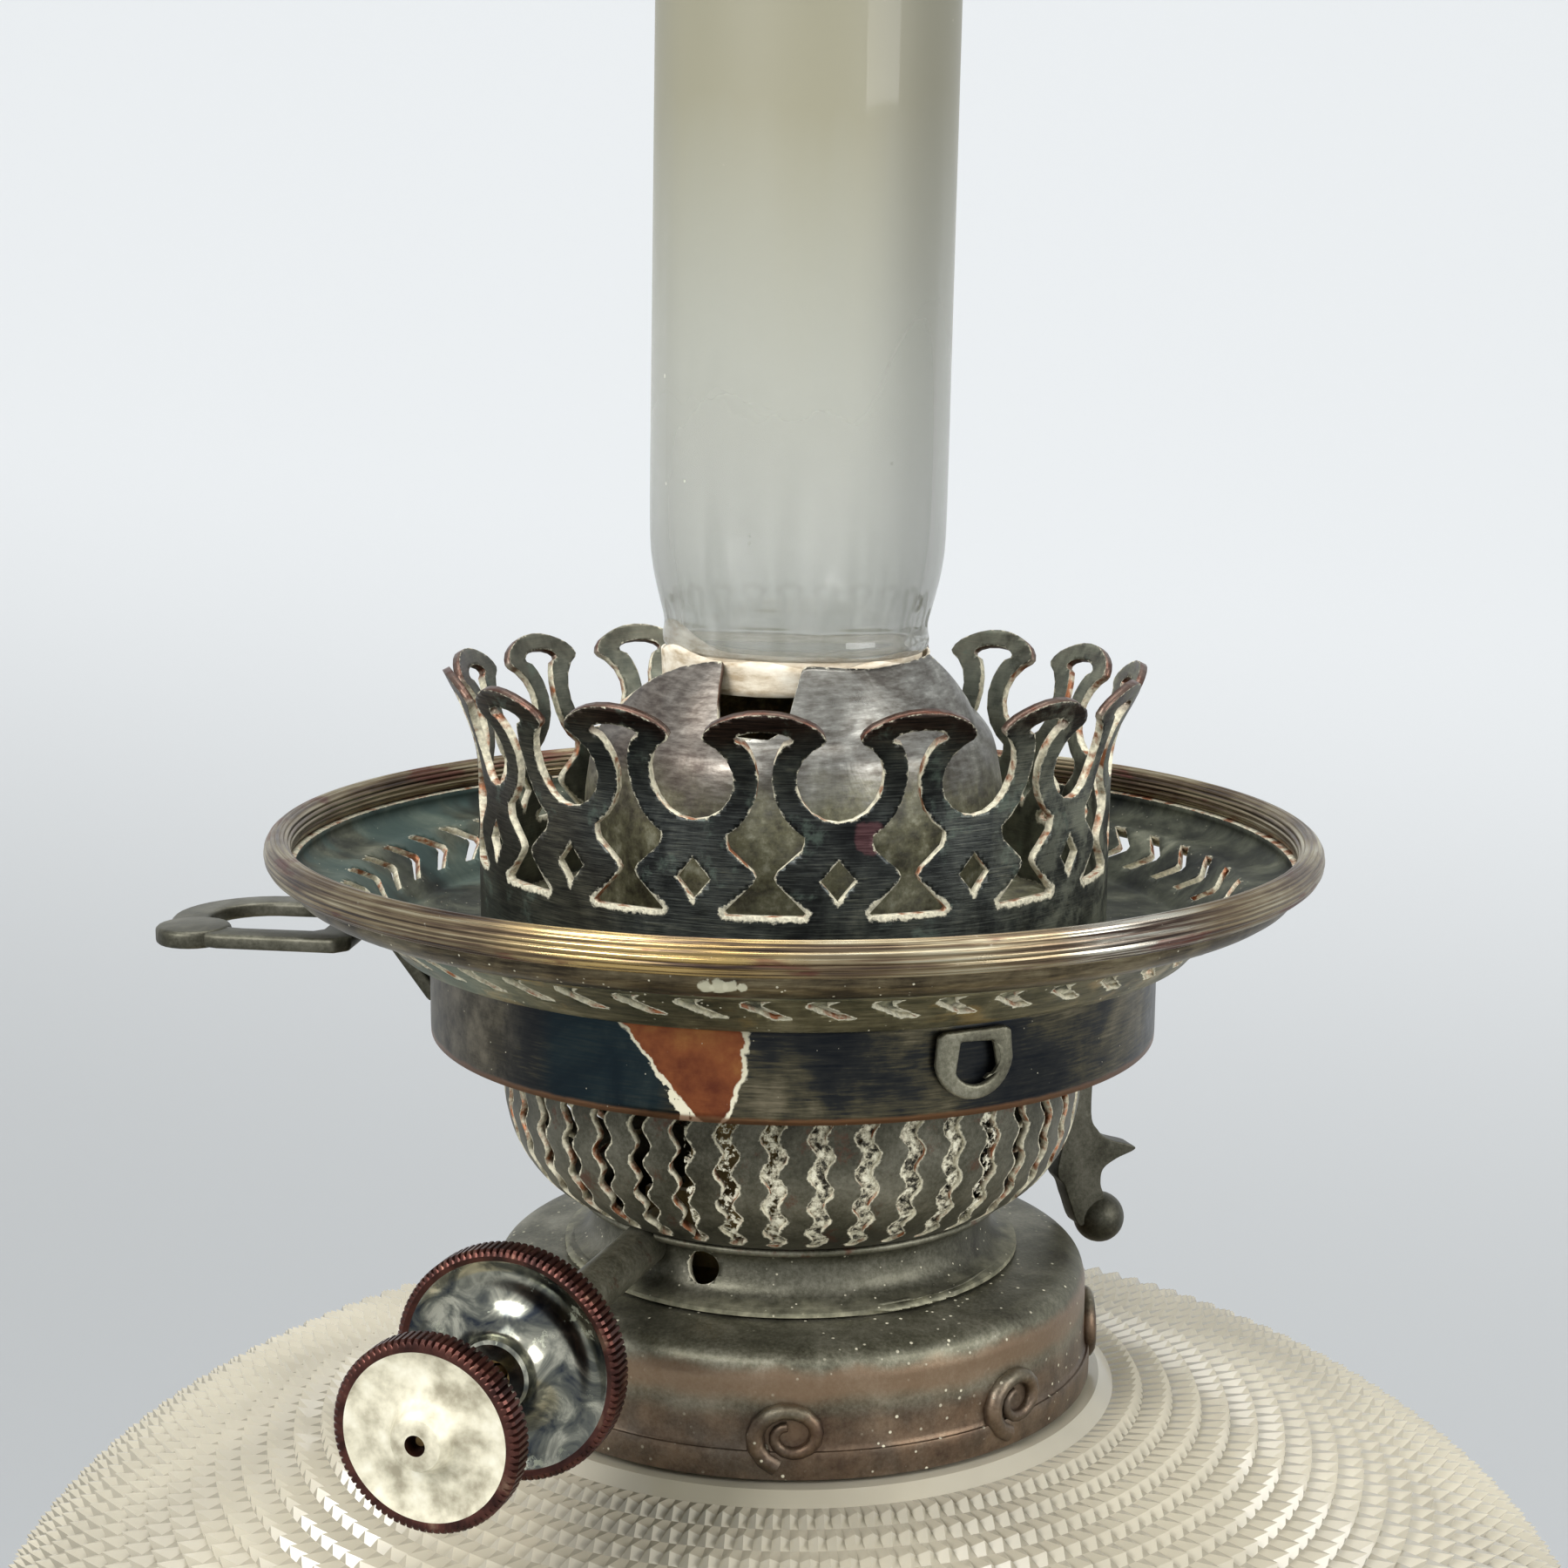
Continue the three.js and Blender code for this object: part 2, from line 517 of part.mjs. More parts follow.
// The font: a turned glass globe, flat under the collar, whose side carries rows of raised points.
function cutFont() {
  const footLevel = level.fontFoot - level.equator;
  const upper = (radius) => font.rise * Math.sqrt(1 - (radius / font.radius) ** 2);
  const highLift = THREE.MathUtils.radToDeg(Math.acos((font.shoulder + font.nail * 2) / font.radius));
  const lifts = Array.from({ length: font.rows + 1 }, (_, i) => rad(
    THREE.MathUtils.lerp(font.lowLift, highLift, i / font.rows)));
  const heightAt = (lift) => (lift > 0 ? font.rise : font.drop) * Math.sin(lift);
  const rows = lifts.map((lift) => [font.radius * Math.cos(lift), heightAt(lift)]);
  const seatLevel = upper(collar.radius);
  const neckTop = seatLevel + font.neckHeight;
  const section = [[0, footLevel], [font.footRadius, footLevel], ...rows, [font.shoulder, seatLevel],
    [font.neckRadius, seatLevel], [font.neckRadius, neckTop], [0, neckTop]];
  const globe = turned(section, font.columns, false);
  const place = globe.getAttribute("position");
  for (let i = 0; i < place.count; i++) {
    const column = Math.floor(i / section.length);
    const row = (i % section.length) - 2;
    if (row > 0 && row < font.rows && (row + column) % 2) {
      const out = 1 + font.nail / font.radius;
      const up = font.nail * Math.sin(lifts[row]);
      place.setXYZ(i, place.getX(i) * out, place.getY(i) * out, place.getZ(i) + up);
    }
  }
  const inner = font.radius - font.wall;
  const hollow = Array.from({ length: font.cavityRows }, (_, i) => {
    const lift = rad(THREE.MathUtils.lerp(-font.cavityLift, font.cavityLift, i / (font.cavityRows - 1)));
    return [inner * Math.cos(lift), ((lift > 0 ? font.rise : font.drop) - font.wall) * Math.sin(lift)];
  });
  const ceiling = hollow.at(-1)[1];
  const cavity = [[0, hollow[0][1]], ...hollow, [font.boreRadius, ceiling],
    [font.boreRadius, neckTop + overrun], [0, neckTop + overrun]];
  return carved(globe, [turned(cavity, font.cavitySides, false)]).translate(0, 0, level.equator);
}

// Outside of the collar, as [share from bore to full radius, share of the height].
const collarShares = [[1.02, 0], [1.02, 0.2], [0.98, 0.74], [0.92, 0.87], [0.72, 0.96], [0.33, 1]];

function fontCollar() {
  const spreadOut = collar.radius - collar.bore;
  const outside = collarShares.map(([out, up]) => [collar.bore + spreadOut * out, collar.height * up]);
  const ceiling = collar.height - collar.lip;
  const ring = turned([...outside, [collar.bore, collar.height], [collar.bore, ceiling],
    [collar.cavity, ceiling], [collar.cavity, 0]], collar.sides);
  const comma = scrollOutline(collar.scrollHeight / 2, collar.scrollSteps, collar.scrollShrink)
    .map(([x, y]) => [(x * collar.scrollWidth) / collar.scrollHeight, y + collar.scrollHeight / 2]);
  const [sunk, proud] = [collar.radius - collar.scrollProud, collar.radius + collar.scrollProud];
  const scrolls = spread(
    collar.scrolls, (turn) => outward(outline(comma), turn, sunk, proud, collar.scrollRise));
  return joined(ring, ...scrolls).translate(0, 0, level.collar);
}

// Bowl of the basket, from the bottom up: [share from bottom to full radius, share of the depth].
const bowlShares = [[0, 0], [0.6, 0.16], [0.93, 0.5], [1, 1]];

// The basket is one thin bowl with a wavy slot in every cell.
function burnerBasket() {
  const swell = basket.radius - basket.bottomRadius;
  const bowl = bowlShares.map(([out, up]) => [basket.bottomRadius + swell * out, basket.depth * (up - 1)]);
  const half = (Math.PI * basket.radius) / basket.slots;
  const top = lengthsAlong(bowl).at(-1) - basket.slotHead;
  const side = Array.from({ length: basket.waveSteps + 1 }, (_, i) => [
    (i % 2 ? basket.wave : -basket.wave) - basket.slotWidth / 2,
    THREE.MathUtils.lerp(basket.slotFoot, top, i / basket.waveSteps),
  ]);
  const slot = [...side, ...side.slice().reverse().map(([x, y]) => [x + basket.slotWidth, y])];
  const bowlSheet = bentSheet(bowl, basket.sheet, basket.slots, basket.firstSlot,
    [{ edge: plainCell(bowl, half), holes: [slot] }]);
  const halfWide = snuffer.width / 2 + snuffer.windowGap;
  const opening = rectangle(halfWide, -snuffer.windowHigh / 2, snuffer.windowHigh / 2);
  const window = outward(
    outline(opening), snuffer.angle, basket.bottomRadius, basket.radius + basket.sheet, snuffer.pivotLevel);
  return carved(bowlSheet, [window, housingPassage()]);
}

// Ring on top of the basket: the ledge under the lever's ring, and the seat of the gallery.
function burnerRim() {
  const wall = basket.radius - basketRim.sheet;
  return turned([
    [wall, basketRim.gap], [basketRim.ledge, basketRim.gap], [basketRim.ledge, basketRim.ledgeHeight],
    [basket.radius, basketRim.ledgeHeight], [basket.radius, basketRim.rise], [wall, basketRim.rise],
  ], basketRim.sides);
}

const housingPassage = () => outward(
  outline(circle(housing.radius + seat, housing.sides, -winder.offset, winder.level)),
  0, 0, neck.flange + overrun).rotateZ(rad(winderAngle));

// Concave side of the neck, from its flange up, as [share from waist to flange, share of the height].
const neckShares = [[1, 0], [0.97, 0.1], [0.3, 0.16], [0.03, 0.5], [0.35, 0.9], [0.35, 1]];

const neckBottom = -basket.depth - seat - neck.height;

function burnerNeck() {
  const flare = neck.flange - neck.radius;
  const side = neckShares.map(([out, up]) => [neck.radius + flare * out, neckBottom + neck.height * up]);
  const bore = neck.radius - neck.wall;
  const sleeveBore = neck.sleeveRadius - neck.wall;
  const shell = turned([
    [sleeveBore, neckBottom - neck.sleeveLength], [neck.sleeveRadius, neckBottom - neck.sleeveLength],
    [neck.sleeveRadius, neckBottom], ...side, [bore, side.at(-1)[1]], [bore, neckBottom + neck.wall],
    [sleeveBore, neckBottom],
  ], neck.sides);
  const vent = outward(outline(circle(neck.ventRadius, holeSides, 0, neckBottom + neck.ventRise)),
    neck.ventAngle, neck.radius - overrun, neck.flange);
  return carved(shell, [vent, housingPassage()]);
}

const tubeOuterHalf = wick.width / 2 + wickTube.gap + wickTube.wall;
const tubeOuterThick = wick.thick + 2 * (wickTube.gap + wickTube.wall);
const inWinderFrame = (across, along) => [along, across];

function wickDeck() {
  const slot = (centre) => rectangle(tubeOuterThick / 2 + seat, -tubeOuterHalf - seat, tubeOuterHalf + seat)
    .map(([across, along]) => inWinderFrame(across + centre, along));
  const rodPlace = rad(snuffer.angle - winderAngle);
  const [rodX, rodY] = [pushRod.reach * Math.cos(rodPlace), pushRod.reach * Math.sin(rodPlace)];
  const rodHole = circle(pushRod.radius + running, pushRod.sides, rodX, rodY);
  const air = spread(deck.holes, (turn) => circle(
    deck.holeRadius, deck.holeSides,
    deck.holeCircle * Math.cos(rad(turn)), deck.holeCircle * Math.sin(rad(turn))));
  const edge = circle(basket.radius - basket.sheet - seat, basketRim.sides);
  const plate = outline(edge, [slot(wick.centre), slot(-wick.centre), rodHole, ...air]);
  return extruded(plate, deck.thick).translate(0, 0, deck.level);
}

function wickTubeAt(side) {
  const hollowHalf = wick.width / 2 + wickTube.gap;
  const hollow = rectangle(wick.thick / 2 + wickTube.gap, -hollowHalf, hollowHalf);
  const outer = rectangle(tubeOuterThick / 2, -tubeOuterHalf, tubeOuterHalf);
  const swap = (points) => points.map(([across, along]) => inWinderFrame(across + side * wick.centre, along));
  const tube = extruded(outline(swap(outer), [swap(hollow).reverse()]), wickTube.top - wickTube.bottom)
    .translate(0, 0, wickTube.bottom);
  const window = new THREE.BoxGeometry(wickTube.windowLong, tubeOuterThick / 2 + overrun, wickTube.windowHigh)
    .translate(0, side * (wick.centre + (tubeOuterThick / 2 + overrun) / 2), winder.level);
  return carved(tube, [window]);
}

function flatWick(side) {
  return new THREE.BoxGeometry(wick.width, wick.thick, wick.length)
    .translate(0, side * wick.centre, wick.top - wick.length / 2);
}

function snuffingSleeves() {
  const inHalf = tubeOuterHalf + running;
  const inThick = tubeOuterThick / 2 + running;
  const rodPlace = rad(snuffer.angle - winderAngle);
  const [rodX, rodY] = [pushRod.reach * Math.cos(rodPlace), pushRod.reach * Math.sin(rodPlace)];
  const high = sleeve.top - sleeve.level;
  const long = 2 * (inHalf + sleeve.wall);
  const shells = [-1, 1].map((side) => new THREE.BoxGeometry(long, 2 * (inThick + sleeve.wall), high)
    .translate(0, side * wick.centre, sleeve.level + high / 2));
  const plateHalf = wick.centre + inThick + sleeve.wall;
  const plate = new THREE.BoxGeometry(long, 2 * plateHalf + sleeve.plateReach, sleeve.plate)
    .translate(0, sleeve.plateReach / 2, sleeve.level + sleeve.plate / 2);
  const bottom = snuffer.pivotLevel + snuffer.arm / 2 + running + weld;
  const rodStem = disc(pushRod.radius, bottom, sleeve.level + sleeve.plate / 2, pushRod.sides)
    .translate(rodX, rodY, 0);
  const holes = [-1, 1].map((side) => new THREE.BoxGeometry(2 * inHalf, 2 * inThick, high + 2 * overrun)
    .translate(0, side * wick.centre, sleeve.level + high / 2));
  return carved(joined(...shells, plate, rodStem), holes);
}

// Pieces on the winders' axes are made along +Z and turned to lie along +X of the winder's frame.
const alongX = (geometry, across) => geometry.rotateY(Math.PI / 2).translate(0, across, winder.level);

function spikedWheel(start, bore) {
  const count = wickWheel.spikes * 2;
  const star = Array.from({ length: count }, (_, i) => {
    const reach = i % 2 ? wickWheel.core : wickWheel.spike;
    const turn = (i / count) * 2 * Math.PI;
    return [reach * Math.cos(turn), reach * Math.sin(turn)];
  });
  const shape = outline(star, [circle(bore, innerSpindle.sides).reverse()]);
  return extruded(shape, wickWheel.length).translate(0, 0, start);
}

// A tooth narrows from root to tip. Shares of the pitch: where each side leaves the root and the tip.
const toothShares = [[-0.26, 0], [-0.12, 1], [0.12, 1], [0.26, 0]];

function gearWheel(teeth, bore, offTooth = 0) {
  const pitchRadius = (teeth * gear.module) / 2;
  const edge = spread(teeth, (turn) => toothShares.map(([across, up]) => {
    const angle = rad(turn + (360 / teeth) * (across + offTooth));
    const reach = pitchRadius + THREE.MathUtils.lerp(-gear.root, gear.tip, up);
    return [reach * Math.cos(angle), reach * Math.sin(angle)];
  })).flat();
  const shape = outline(edge, [circle(bore, innerSpindle.sides).reverse()]);
  return extruded(shape, gear.width).translate(0, 0, gear.start);
}

function bearingPlate(start, holes, pins = []) {
  const strapTop = deck.level - seat;
  const half = bracket.height / 2;
  const shape = [[-bracket.half, winder.level - half], [bracket.half, winder.level - half],
    [bracket.half, winder.level + half], [bracket.strap, winder.level + half], [bracket.strap, strapTop],
    [-bracket.strap, strapTop], [-bracket.strap, winder.level + half], [-bracket.half, winder.level + half]];
  const cuts = holes.map(([across, radius]) => (
    circle(radius, innerSpindle.sides, across, winder.level).reverse()));
  const plate = outward(outline(shape, cuts), 0, start, start + bracket.thick);
  return pins.length ? joined(plate, ...pins) : plate;
}

const idlerPin = () => alongX(disc(
  innerSpindle.radius, bracket.rear + bracket.thick / 2, gear.start + gear.width, innerSpindle.sides), 0);

// Side of a knob from its back to its hub, as [share of the radius, share of the rim's width].
const knobShares = [[0.86, 0], [1, 0.1], [1, 0.9], [0.9, 1]];
const webBackShare = 0.3;
const webEdgeShare = 0.78;

function knurledKnob(size, bore) {
  const rim = knobShares.map(([out, along]) => [size.radius * out, size.width * along]);
  const webBack = size.width * webBackShare;
  const webFront = webBack + size.web;
  const section = [[bore, webBack], ...rim, [size.radius * webEdgeShare, webFront],
    [size.hub, webFront], [size.hub, size.hubLength], [bore, size.hubLength]];
  const knob = turned(section, size.knurls * 2);
  const place = knob.getAttribute("position");
  for (let i = 0; i < place.count; i++) {
    const reach = Math.hypot(place.getX(i), place.getY(i));
    const column = Math.floor(i / (section.length + 1));
    if (reach > size.radius - knurlDepth && column % 2) {
      const cut = (reach - knurlDepth) / reach;
      place.setXY(i, place.getX(i) * cut, place.getY(i) * cut);
    }
  }
  return alongX(knob.translate(0, 0, size.start), -winder.offset);
}

function spindleTube(radius, from, to, bore) {
  return alongX(turned(tubeSection(bore, radius, from, to), housing.sides), -winder.offset);
}

// Skirt of the gallery, with a notch for the lever's stem and three studs that ride on the ramps.
function gallerySkirt() {
  const inner = skirt.radius - skirt.sheet;
  const band = turned(tubeSection(inner, skirt.radius, 0, skirt.height), skirt.sides);
  const studLevel = cam.level + cam.thick + running + skirt.studRadius;
  const studs = skirt.studAngles.map((turn) => outward(outline(circle(skirt.studRadius, holeSides)), turn,
    inner - skirt.studReach, inner + skirt.sheet / 2, studLevel));
  const middle = (skirt.notchFrom + skirt.notchTo) / 2;
  const sweep = rad((skirt.notchTo - skirt.notchFrom) / 2);
  const reach = skirt.radius + overrun;
  const wedge = outline([[0, 0], [reach, -reach * Math.tan(sweep)], [reach, reach * Math.tan(sweep)]]);
  const notch = extruded(wedge, skirt.notchTop + overrun).translate(0, 0, -overrun).rotateZ(rad(middle));
  return toGeometry(toSolid(band).subtract(toSolid(notch)).add(joinedSolid(studs)));
}

// Shade tray: a flat floor, a sloping wall pierced with chevrons, and a lip for the rolled rim.
function galleryTray() {
  const line = [[tray.innerRadius, tray.floorLevel], [tray.floorRadius, tray.floorLevel],
    [tray.wallRadius, tray.floorLevel + tray.wallRise], [tray.lipRadius, tray.floorLevel + tray.lipRise]];
  const runs = lengthsAlong(line);
  const half = (Math.PI * tray.wallRadius) / tray.chevrons;
  const [wide, high, stroke] = [tray.chevronWidth / 2, tray.chevronHeight / 2, tray.chevronThick / 2];
  const middle = (runs[1] + runs[2]) / 2;
  const chevron = [[wide - stroke, -high], [wide + stroke, -high], [stroke - wide, 0], [wide + stroke, high],
    [wide - stroke, high], [-wide - stroke, 0]].map(([x, y]) => [x - stroke / 2, y + middle]);
  const bands = runs.slice(1).map((top, k) => ({
    edge: rectangle(half, runs[k], top), holes: k === 1 ? [chevron] : [],
  }));
  return bentSheet(line, tray.sheet, tray.chevrons, tray.chevronAngle, bands, runs.slice(1, -1));
}

// Rim of the tray, rolled round a wire: it closes on the lip with the usual gap.
function trayRimRing() {
  const bead = circle(trayRim.bead, trayRim.faces, trayRim.radius, trayRim.level);
  return turned(bead, trayRim.sides);
}

// Coronet: a sheet pierced into rings that stand on hollow diamonds. Caps join each ring to the
// next and curl outwards. A cell runs from the middle of one ring to the middle of the next.
function coronetRing() {
  const height = coronet.top - coronet.foot;
  const curl = curlShares.map(([out, up]) => [coronet.radius + curlOut * out, coronet.foot + height * up]);
  const runs = lengthsAlong(curl);
  const along = (z) => {
    const k = Math.max(1, curl.findIndex(([, top]) => top >= z));
    return THREE.MathUtils.mapLinear(z, curl[k - 1][1], curl[k][1], runs[k - 1], runs[k]);
  };
  const half = (Math.PI * coronet.radius) / coronet.units;
  const beside = (rise) => half - Math.sqrt(coronet.ringRadius ** 2 - rise ** 2);
  const ringRises = ringShares.map((share) => coronet.ringRadius * share);
  const gap = mirrored([
    [half - coronet.footWidth / 2, coronet.bandTop], [coronet.tipGap, coronet.diamondTips],
    [half - coronet.waistWidth / 2, coronet.waist],
    ...ringRises.map((rise) => [beside(rise), coronet.ringCentre + rise]),
    [coronet.archWidth / 2, coronet.archTop],
  ]);
  const [wide, high] = [coronet.diamondWide / 2, coronet.diamondHigh / 2];
  const open = Math.asin(coronet.capGap / coronet.holeRadius);
  const round = Array.from({ length: coronet.holeSteps + 1 }, (_, i) => {
    const turn = Math.PI - ((Math.PI - open) * i) / coronet.holeSteps;
    const [across, up] = [coronet.holeRadius * Math.sin(turn), coronet.holeRadius * Math.cos(turn)];
    return [half - across, coronet.ringCentre + up];
  });
  const capFoot = coronet.ringCentre + coronet.holeRadius;
  const capRise = coronet.top - capFoot;
  const cap = capShares.map(([across, up]) => [
    half - THREE.MathUtils.lerp(coronet.capGap, coronet.capRound, across), capFoot + capRise * up]);
  const side = [
    [half, coronet.foot], [half, coronet.diamondLevel - high], [half - wide, coronet.diamondLevel],
    [half, coronet.diamondLevel + high], ...round, ...cap,
  ];
  const foot = Array.from({ length: coronet.footSteps - 1 }, (_, i) => [
    half * ((2 * (i + 1)) / coronet.footSteps - 1), coronet.foot]);
  const cell = [...foot, ...side, ...side.slice().reverse().map(([x, z]) => [-x, z])];
  const flat = (points) => points.map(([x, z]) => [x, along(z)]);
  const firstCap = coronet.angle + 180 / coronet.units;
  return bentSheet(curl, coronet.sheet, coronet.units, firstCap, [{ edge: flat(cell), holes: [flat(gap)] }]);
}

// Half outline of the catch, from its bottom round to its top, as shares of its size.
const catchShares = [[0.6, 0.08], [0.95, 0.35], [1, 0.7], [0.8, 1]];

function catchLug() {
  const [wide, high] = [galleryCatch.width / 2, galleryCatch.height];
  const half = catchShares.map(([across, up]) => [wide * across, high * (up - 0.5)]);
  const from = skirt.radius - overrun;
  const lug = outward(outline(mirrored(half)), galleryCatch.angle, from,
    skirt.radius + seat + galleryCatch.proud, galleryCatch.level);
  const eye = outward(outline(circle(galleryCatch.eye, holeSides, 0, -galleryCatch.eyeDrop)),
    galleryCatch.angle, from - overrun, skirt.radius + overrun, galleryCatch.level);
  const core = disc(skirt.radius + seat, 0, skirt.height, skirt.sides);
  return carved(lug, [core, eye]);
}

// Where the dome is torn: [azimuth, how much of the height above the tear is left, how far it
// is bent up from a turned-in lip to an upright tab]. Azimuths are in degrees, the rest are shares.
const tearShares = [
  [-180, 0.15, 0.2], [-150, 0.05, 0.3], [-140, 0.55, 1], [-122, 0.92, 1], [-118, 0.2, 1], [-104, 0.02, 0.6],
  [-92, 0.3, 1], [-88, 0.95, 1], [-60, 0.86, 1], [-34, 0.9, 1], [-20, 1, 1], [-8, 0.2, 1], [-4, 0.2, 0],
  [8, 0.9, 0], [150, 0.95, 0], [180, 0.15, 0.2],
];

function tearAt(azimuth) {
  const next = Math.max(1, tearShares.findIndex(([at]) => at >= azimuth));
  const [before, after] = [tearShares[next - 1], tearShares[next]];
  const share = (azimuth - before[0]) / (after[0] - before[0]);
  return [1, 2].map((k) => THREE.MathUtils.lerp(before[k], after[k], share));
}

// Wall of the dome below the tears, as [share of the widest radius, share of the rise to it].
const domeShares = [[1, 1], [0.95, 1.4], [0.87, 1.58]];
// The bend between the wall and the torn tips, as shares of the way there: out, and up when it is
// turned in or upright. A sliver of metal is left where a tear runs right down.
const kneeShares = { out: 0.62, turnedIn: 0.8, upright: 0.55 };
const sliverShare = 0.02;

function flameDome() {
  const rise = dome.widest - dome.level;
  const fixed = [[dome.flange, dome.level], [dome.foot, dome.level],
    ...domeShares.map(([out, up]) => [dome.width * out, dome.level + rise * up])];
  const [tornR, tornZ] = fixed.at(-1);
  const sectionAt = (azimuth) => {
    const [left, bent] = tearAt(azimuth);
    const end = ["radius", "height"].map((size) => THREE.MathUtils.lerp(domeLip[size], domeTab[size], bent));
    const up = THREE.MathUtils.lerp(kneeShares.turnedIn, kneeShares.upright, bent);
    const reach = Math.min(1, left * 2);
    const sliver = sliverShare * dome.sheet;
    const knee = [
      THREE.MathUtils.lerp(tornR, end[0], kneeShares.out * reach) - sliver,
      THREE.MathUtils.lerp(tornZ, end[1], up * reach) + sliver,
    ];
    const tip = [
      THREE.MathUtils.lerp(knee[0], end[0], left) - sliver,
      THREE.MathUtils.lerp(knee[1], end[1], left) + sliver,
    ];
    return sheetSection([...fixed, knee, tip], dome.sheet);
  };
  const rings = Array.from({ length: dome.steps }, (_, i) => {
    const azimuth = -180 + (360 * i) / dome.steps;
    const turn = rad(azimuth);
    return sectionAt(azimuth).map(([r, z]) => [r * Math.cos(turn), r * Math.sin(turn), z]);
  });
  return skinned(rings, true);
}

const packingLevel = domeLip.height + 2 * seat;
const chimneyFoot = packingLevel + packing.height + chimney.gap;

function packingRing() {
  const section = tubeSection(packing.inner, packing.outer, packingLevel, packingLevel + packing.height);
  return turned(section, packing.sides);
}

// Outside of the chimney above its foot ring, as [share from foot to body radius, share of the shoulder].
const shoulderShares = [[0.2, 0.14], [0.1, 0.28], [0.55, 0.58], [1, 1]];

function chimneyGlass() {
  const swell = chimney.radius - chimney.footRadius;
  const side = shoulderShares.map(([out, up]) => [chimney.footRadius + swell * out, chimney.shoulder * up]);
  const outside = [[chimney.footRadius, 0], ...side, [chimney.radius, chimney.length]];
  const [bore, footBore] = [chimney.radius - chimney.wall, chimney.footRadius - chimney.wall];
  const inside = [[bore, chimney.length], [bore, chimney.shoulder], [footBore, chimney.ring], [footBore, 0]];
  return turned([...outside, ...inside], chimney.sides)
    .rotateY(rad(chimney.lean))
    .translate(0, 0, chimneyFoot);
}

// A ramp on the lever's ring: a wedge that follows the ring and climbs at a steady rate.
function ramp(start) {
  const top = cam.level + cam.thick;
  const foot = top - cam.thick / 2;
  const outer = cam.outer - seat;
  const ribs = Array.from({ length: cam.rampSteps + 1 }, (_, i) => {
    const turn = rad(start + (cam.sweep * i) / cam.rampSteps);
    const high = top + (cam.lift * i) / cam.rampSteps;
    const section = [[cam.rampInner, foot], [outer, foot], [outer, high], [cam.rampInner, high]];
    return section.map(([r, z]) => [r * Math.cos(turn), r * Math.sin(turn), z]);
  });
  return skinned(ribs, false);
}

// Lever that raises the gallery: ring, ramps, stem and a looped handle bent up outside the skirt.
function galleryLever() {
  const camRing = turned(tubeSection(cam.inner, cam.outer, cam.level, cam.level + cam.thick), cam.sides);
  const half = loop.width / 2;
  const inner = half - loop.limb;
  const high = cam.level + loop.rise;
  const side = [[loop.stemStart, cam.level], [loop.riseFrom, cam.level], [loop.riseTo, high],
    [loop.start + loop.limb / 2, high]];
  const strip = [...side, ...besides(side, -loop.thick).reverse()];
  const stem = extruded(outline(strip), loop.stem).rotateX(Math.PI / 2).translate(0, loop.stem / 2, 0);
  const bow = (start, halfWide) => [[start, -halfWide], ...arc(loop.tip - half, halfWide), [start, halfWide]];
  const hole = bow(loop.start + loop.limb, inner).reverse();
  const ring = extruded(outline(bow(loop.start, half), [hole]), loop.thick).translate(0, 0, high);
  const tab = disc(loop.tabRadius, high, high + loop.thick, pinSides)
    .translate(loop.tip - loop.tabRadius, half - loop.tabRadius, 0);
  const handle = joined(stem, ring, tab);
  const ramps = skirt.studAngles.map((turn) => ramp(turn + cam.lead));
  return joined(camRing, handle.rotateZ(rad(loop.angle)), ...ramps);
}

// The round end of the handle's loop, about a middle x.
function arc(x, radius) {
  return Array.from({ length: loop.roundSteps + 1 }, (_, i) => {
    const turn = rad(loop.roundSweep * (i / loop.roundSteps - 0.5));
    return [x + radius * Math.cos(turn), radius * Math.sin(turn)];
  });
}

// Outer arm of the extinguisher lever from the pivot down to the ball, as [share of the way out
// from the pivot to the ball, share of the way down], with the horn as the far point.
const hornShares = [
  [-0.6, -0.02], [0.2, -0.02], [0.35, 0.06], [0.28, 0.4], [0.6, 0.5], [1.15, 0.56], [2.4, 0.62],
  [1.5, 0.67], [0.9, 0.72], [0.81, 0.8], [0.95, 0.9], [-0.3, 1.05], [-0.83, 0.86], [-0.83, 0.8],
  [-1.2, 0.72], [-0.9, 0.5], [-0.7, 0.3],
];

function snufferLever() {
  const out = snuffer.ballReach - snuffer.pivotRadius;
  const down = snuffer.pivotLevel - snuffer.ballLevel;
  const hanging = hornShares.map(([share, drop]) => [
    snuffer.pivotRadius + out * share, snuffer.pivotLevel - down * drop]);
  const half = snuffer.arm / 2;
  const elbow = snuffer.pivotRadius + half;
  const arm = [[snuffer.armReach, snuffer.pivotLevel - half], [elbow, snuffer.pivotLevel - half],
    [elbow, snuffer.pivotLevel + half], [snuffer.armReach, snuffer.pivotLevel + half]];
  const flat = (points) => extruded(outline(points), snuffer.width)
    .translate(0, 0, -snuffer.width / 2)
    .rotateX(Math.PI / 2);
  const ball = new THREE.SphereGeometry(snuffer.ballRadius, snuffer.ballColumns, snuffer.ballRows)
    .translate(snuffer.ballReach, 0, snuffer.ballLevel);
  const boss = disc(snuffer.arm, -snuffer.width / 2, snuffer.width / 2, pinSides)
    .rotateX(Math.PI / 2)
    .translate(snuffer.pivotRadius, 0, snuffer.pivotLevel);
  const pinHole = disc(snuffer.pin + running, -snuffer.width, snuffer.width, pinSides)
    .rotateX(Math.PI / 2)
    .translate(snuffer.pivotRadius, 0, snuffer.pivotLevel);
  return carved(joined(flat(hanging), flat(arm), ball, boss), [pinHole]).rotateZ(rad(snuffer.angle));
}

function snufferPin() {
  return disc(snuffer.pin, -snuffer.pinLength / 2, snuffer.pinLength / 2, pinSides)
    .rotateX(Math.PI / 2)
    .translate(snuffer.pivotRadius, 0, snuffer.pivotLevel)
    .rotateZ(rad(snuffer.angle));
}

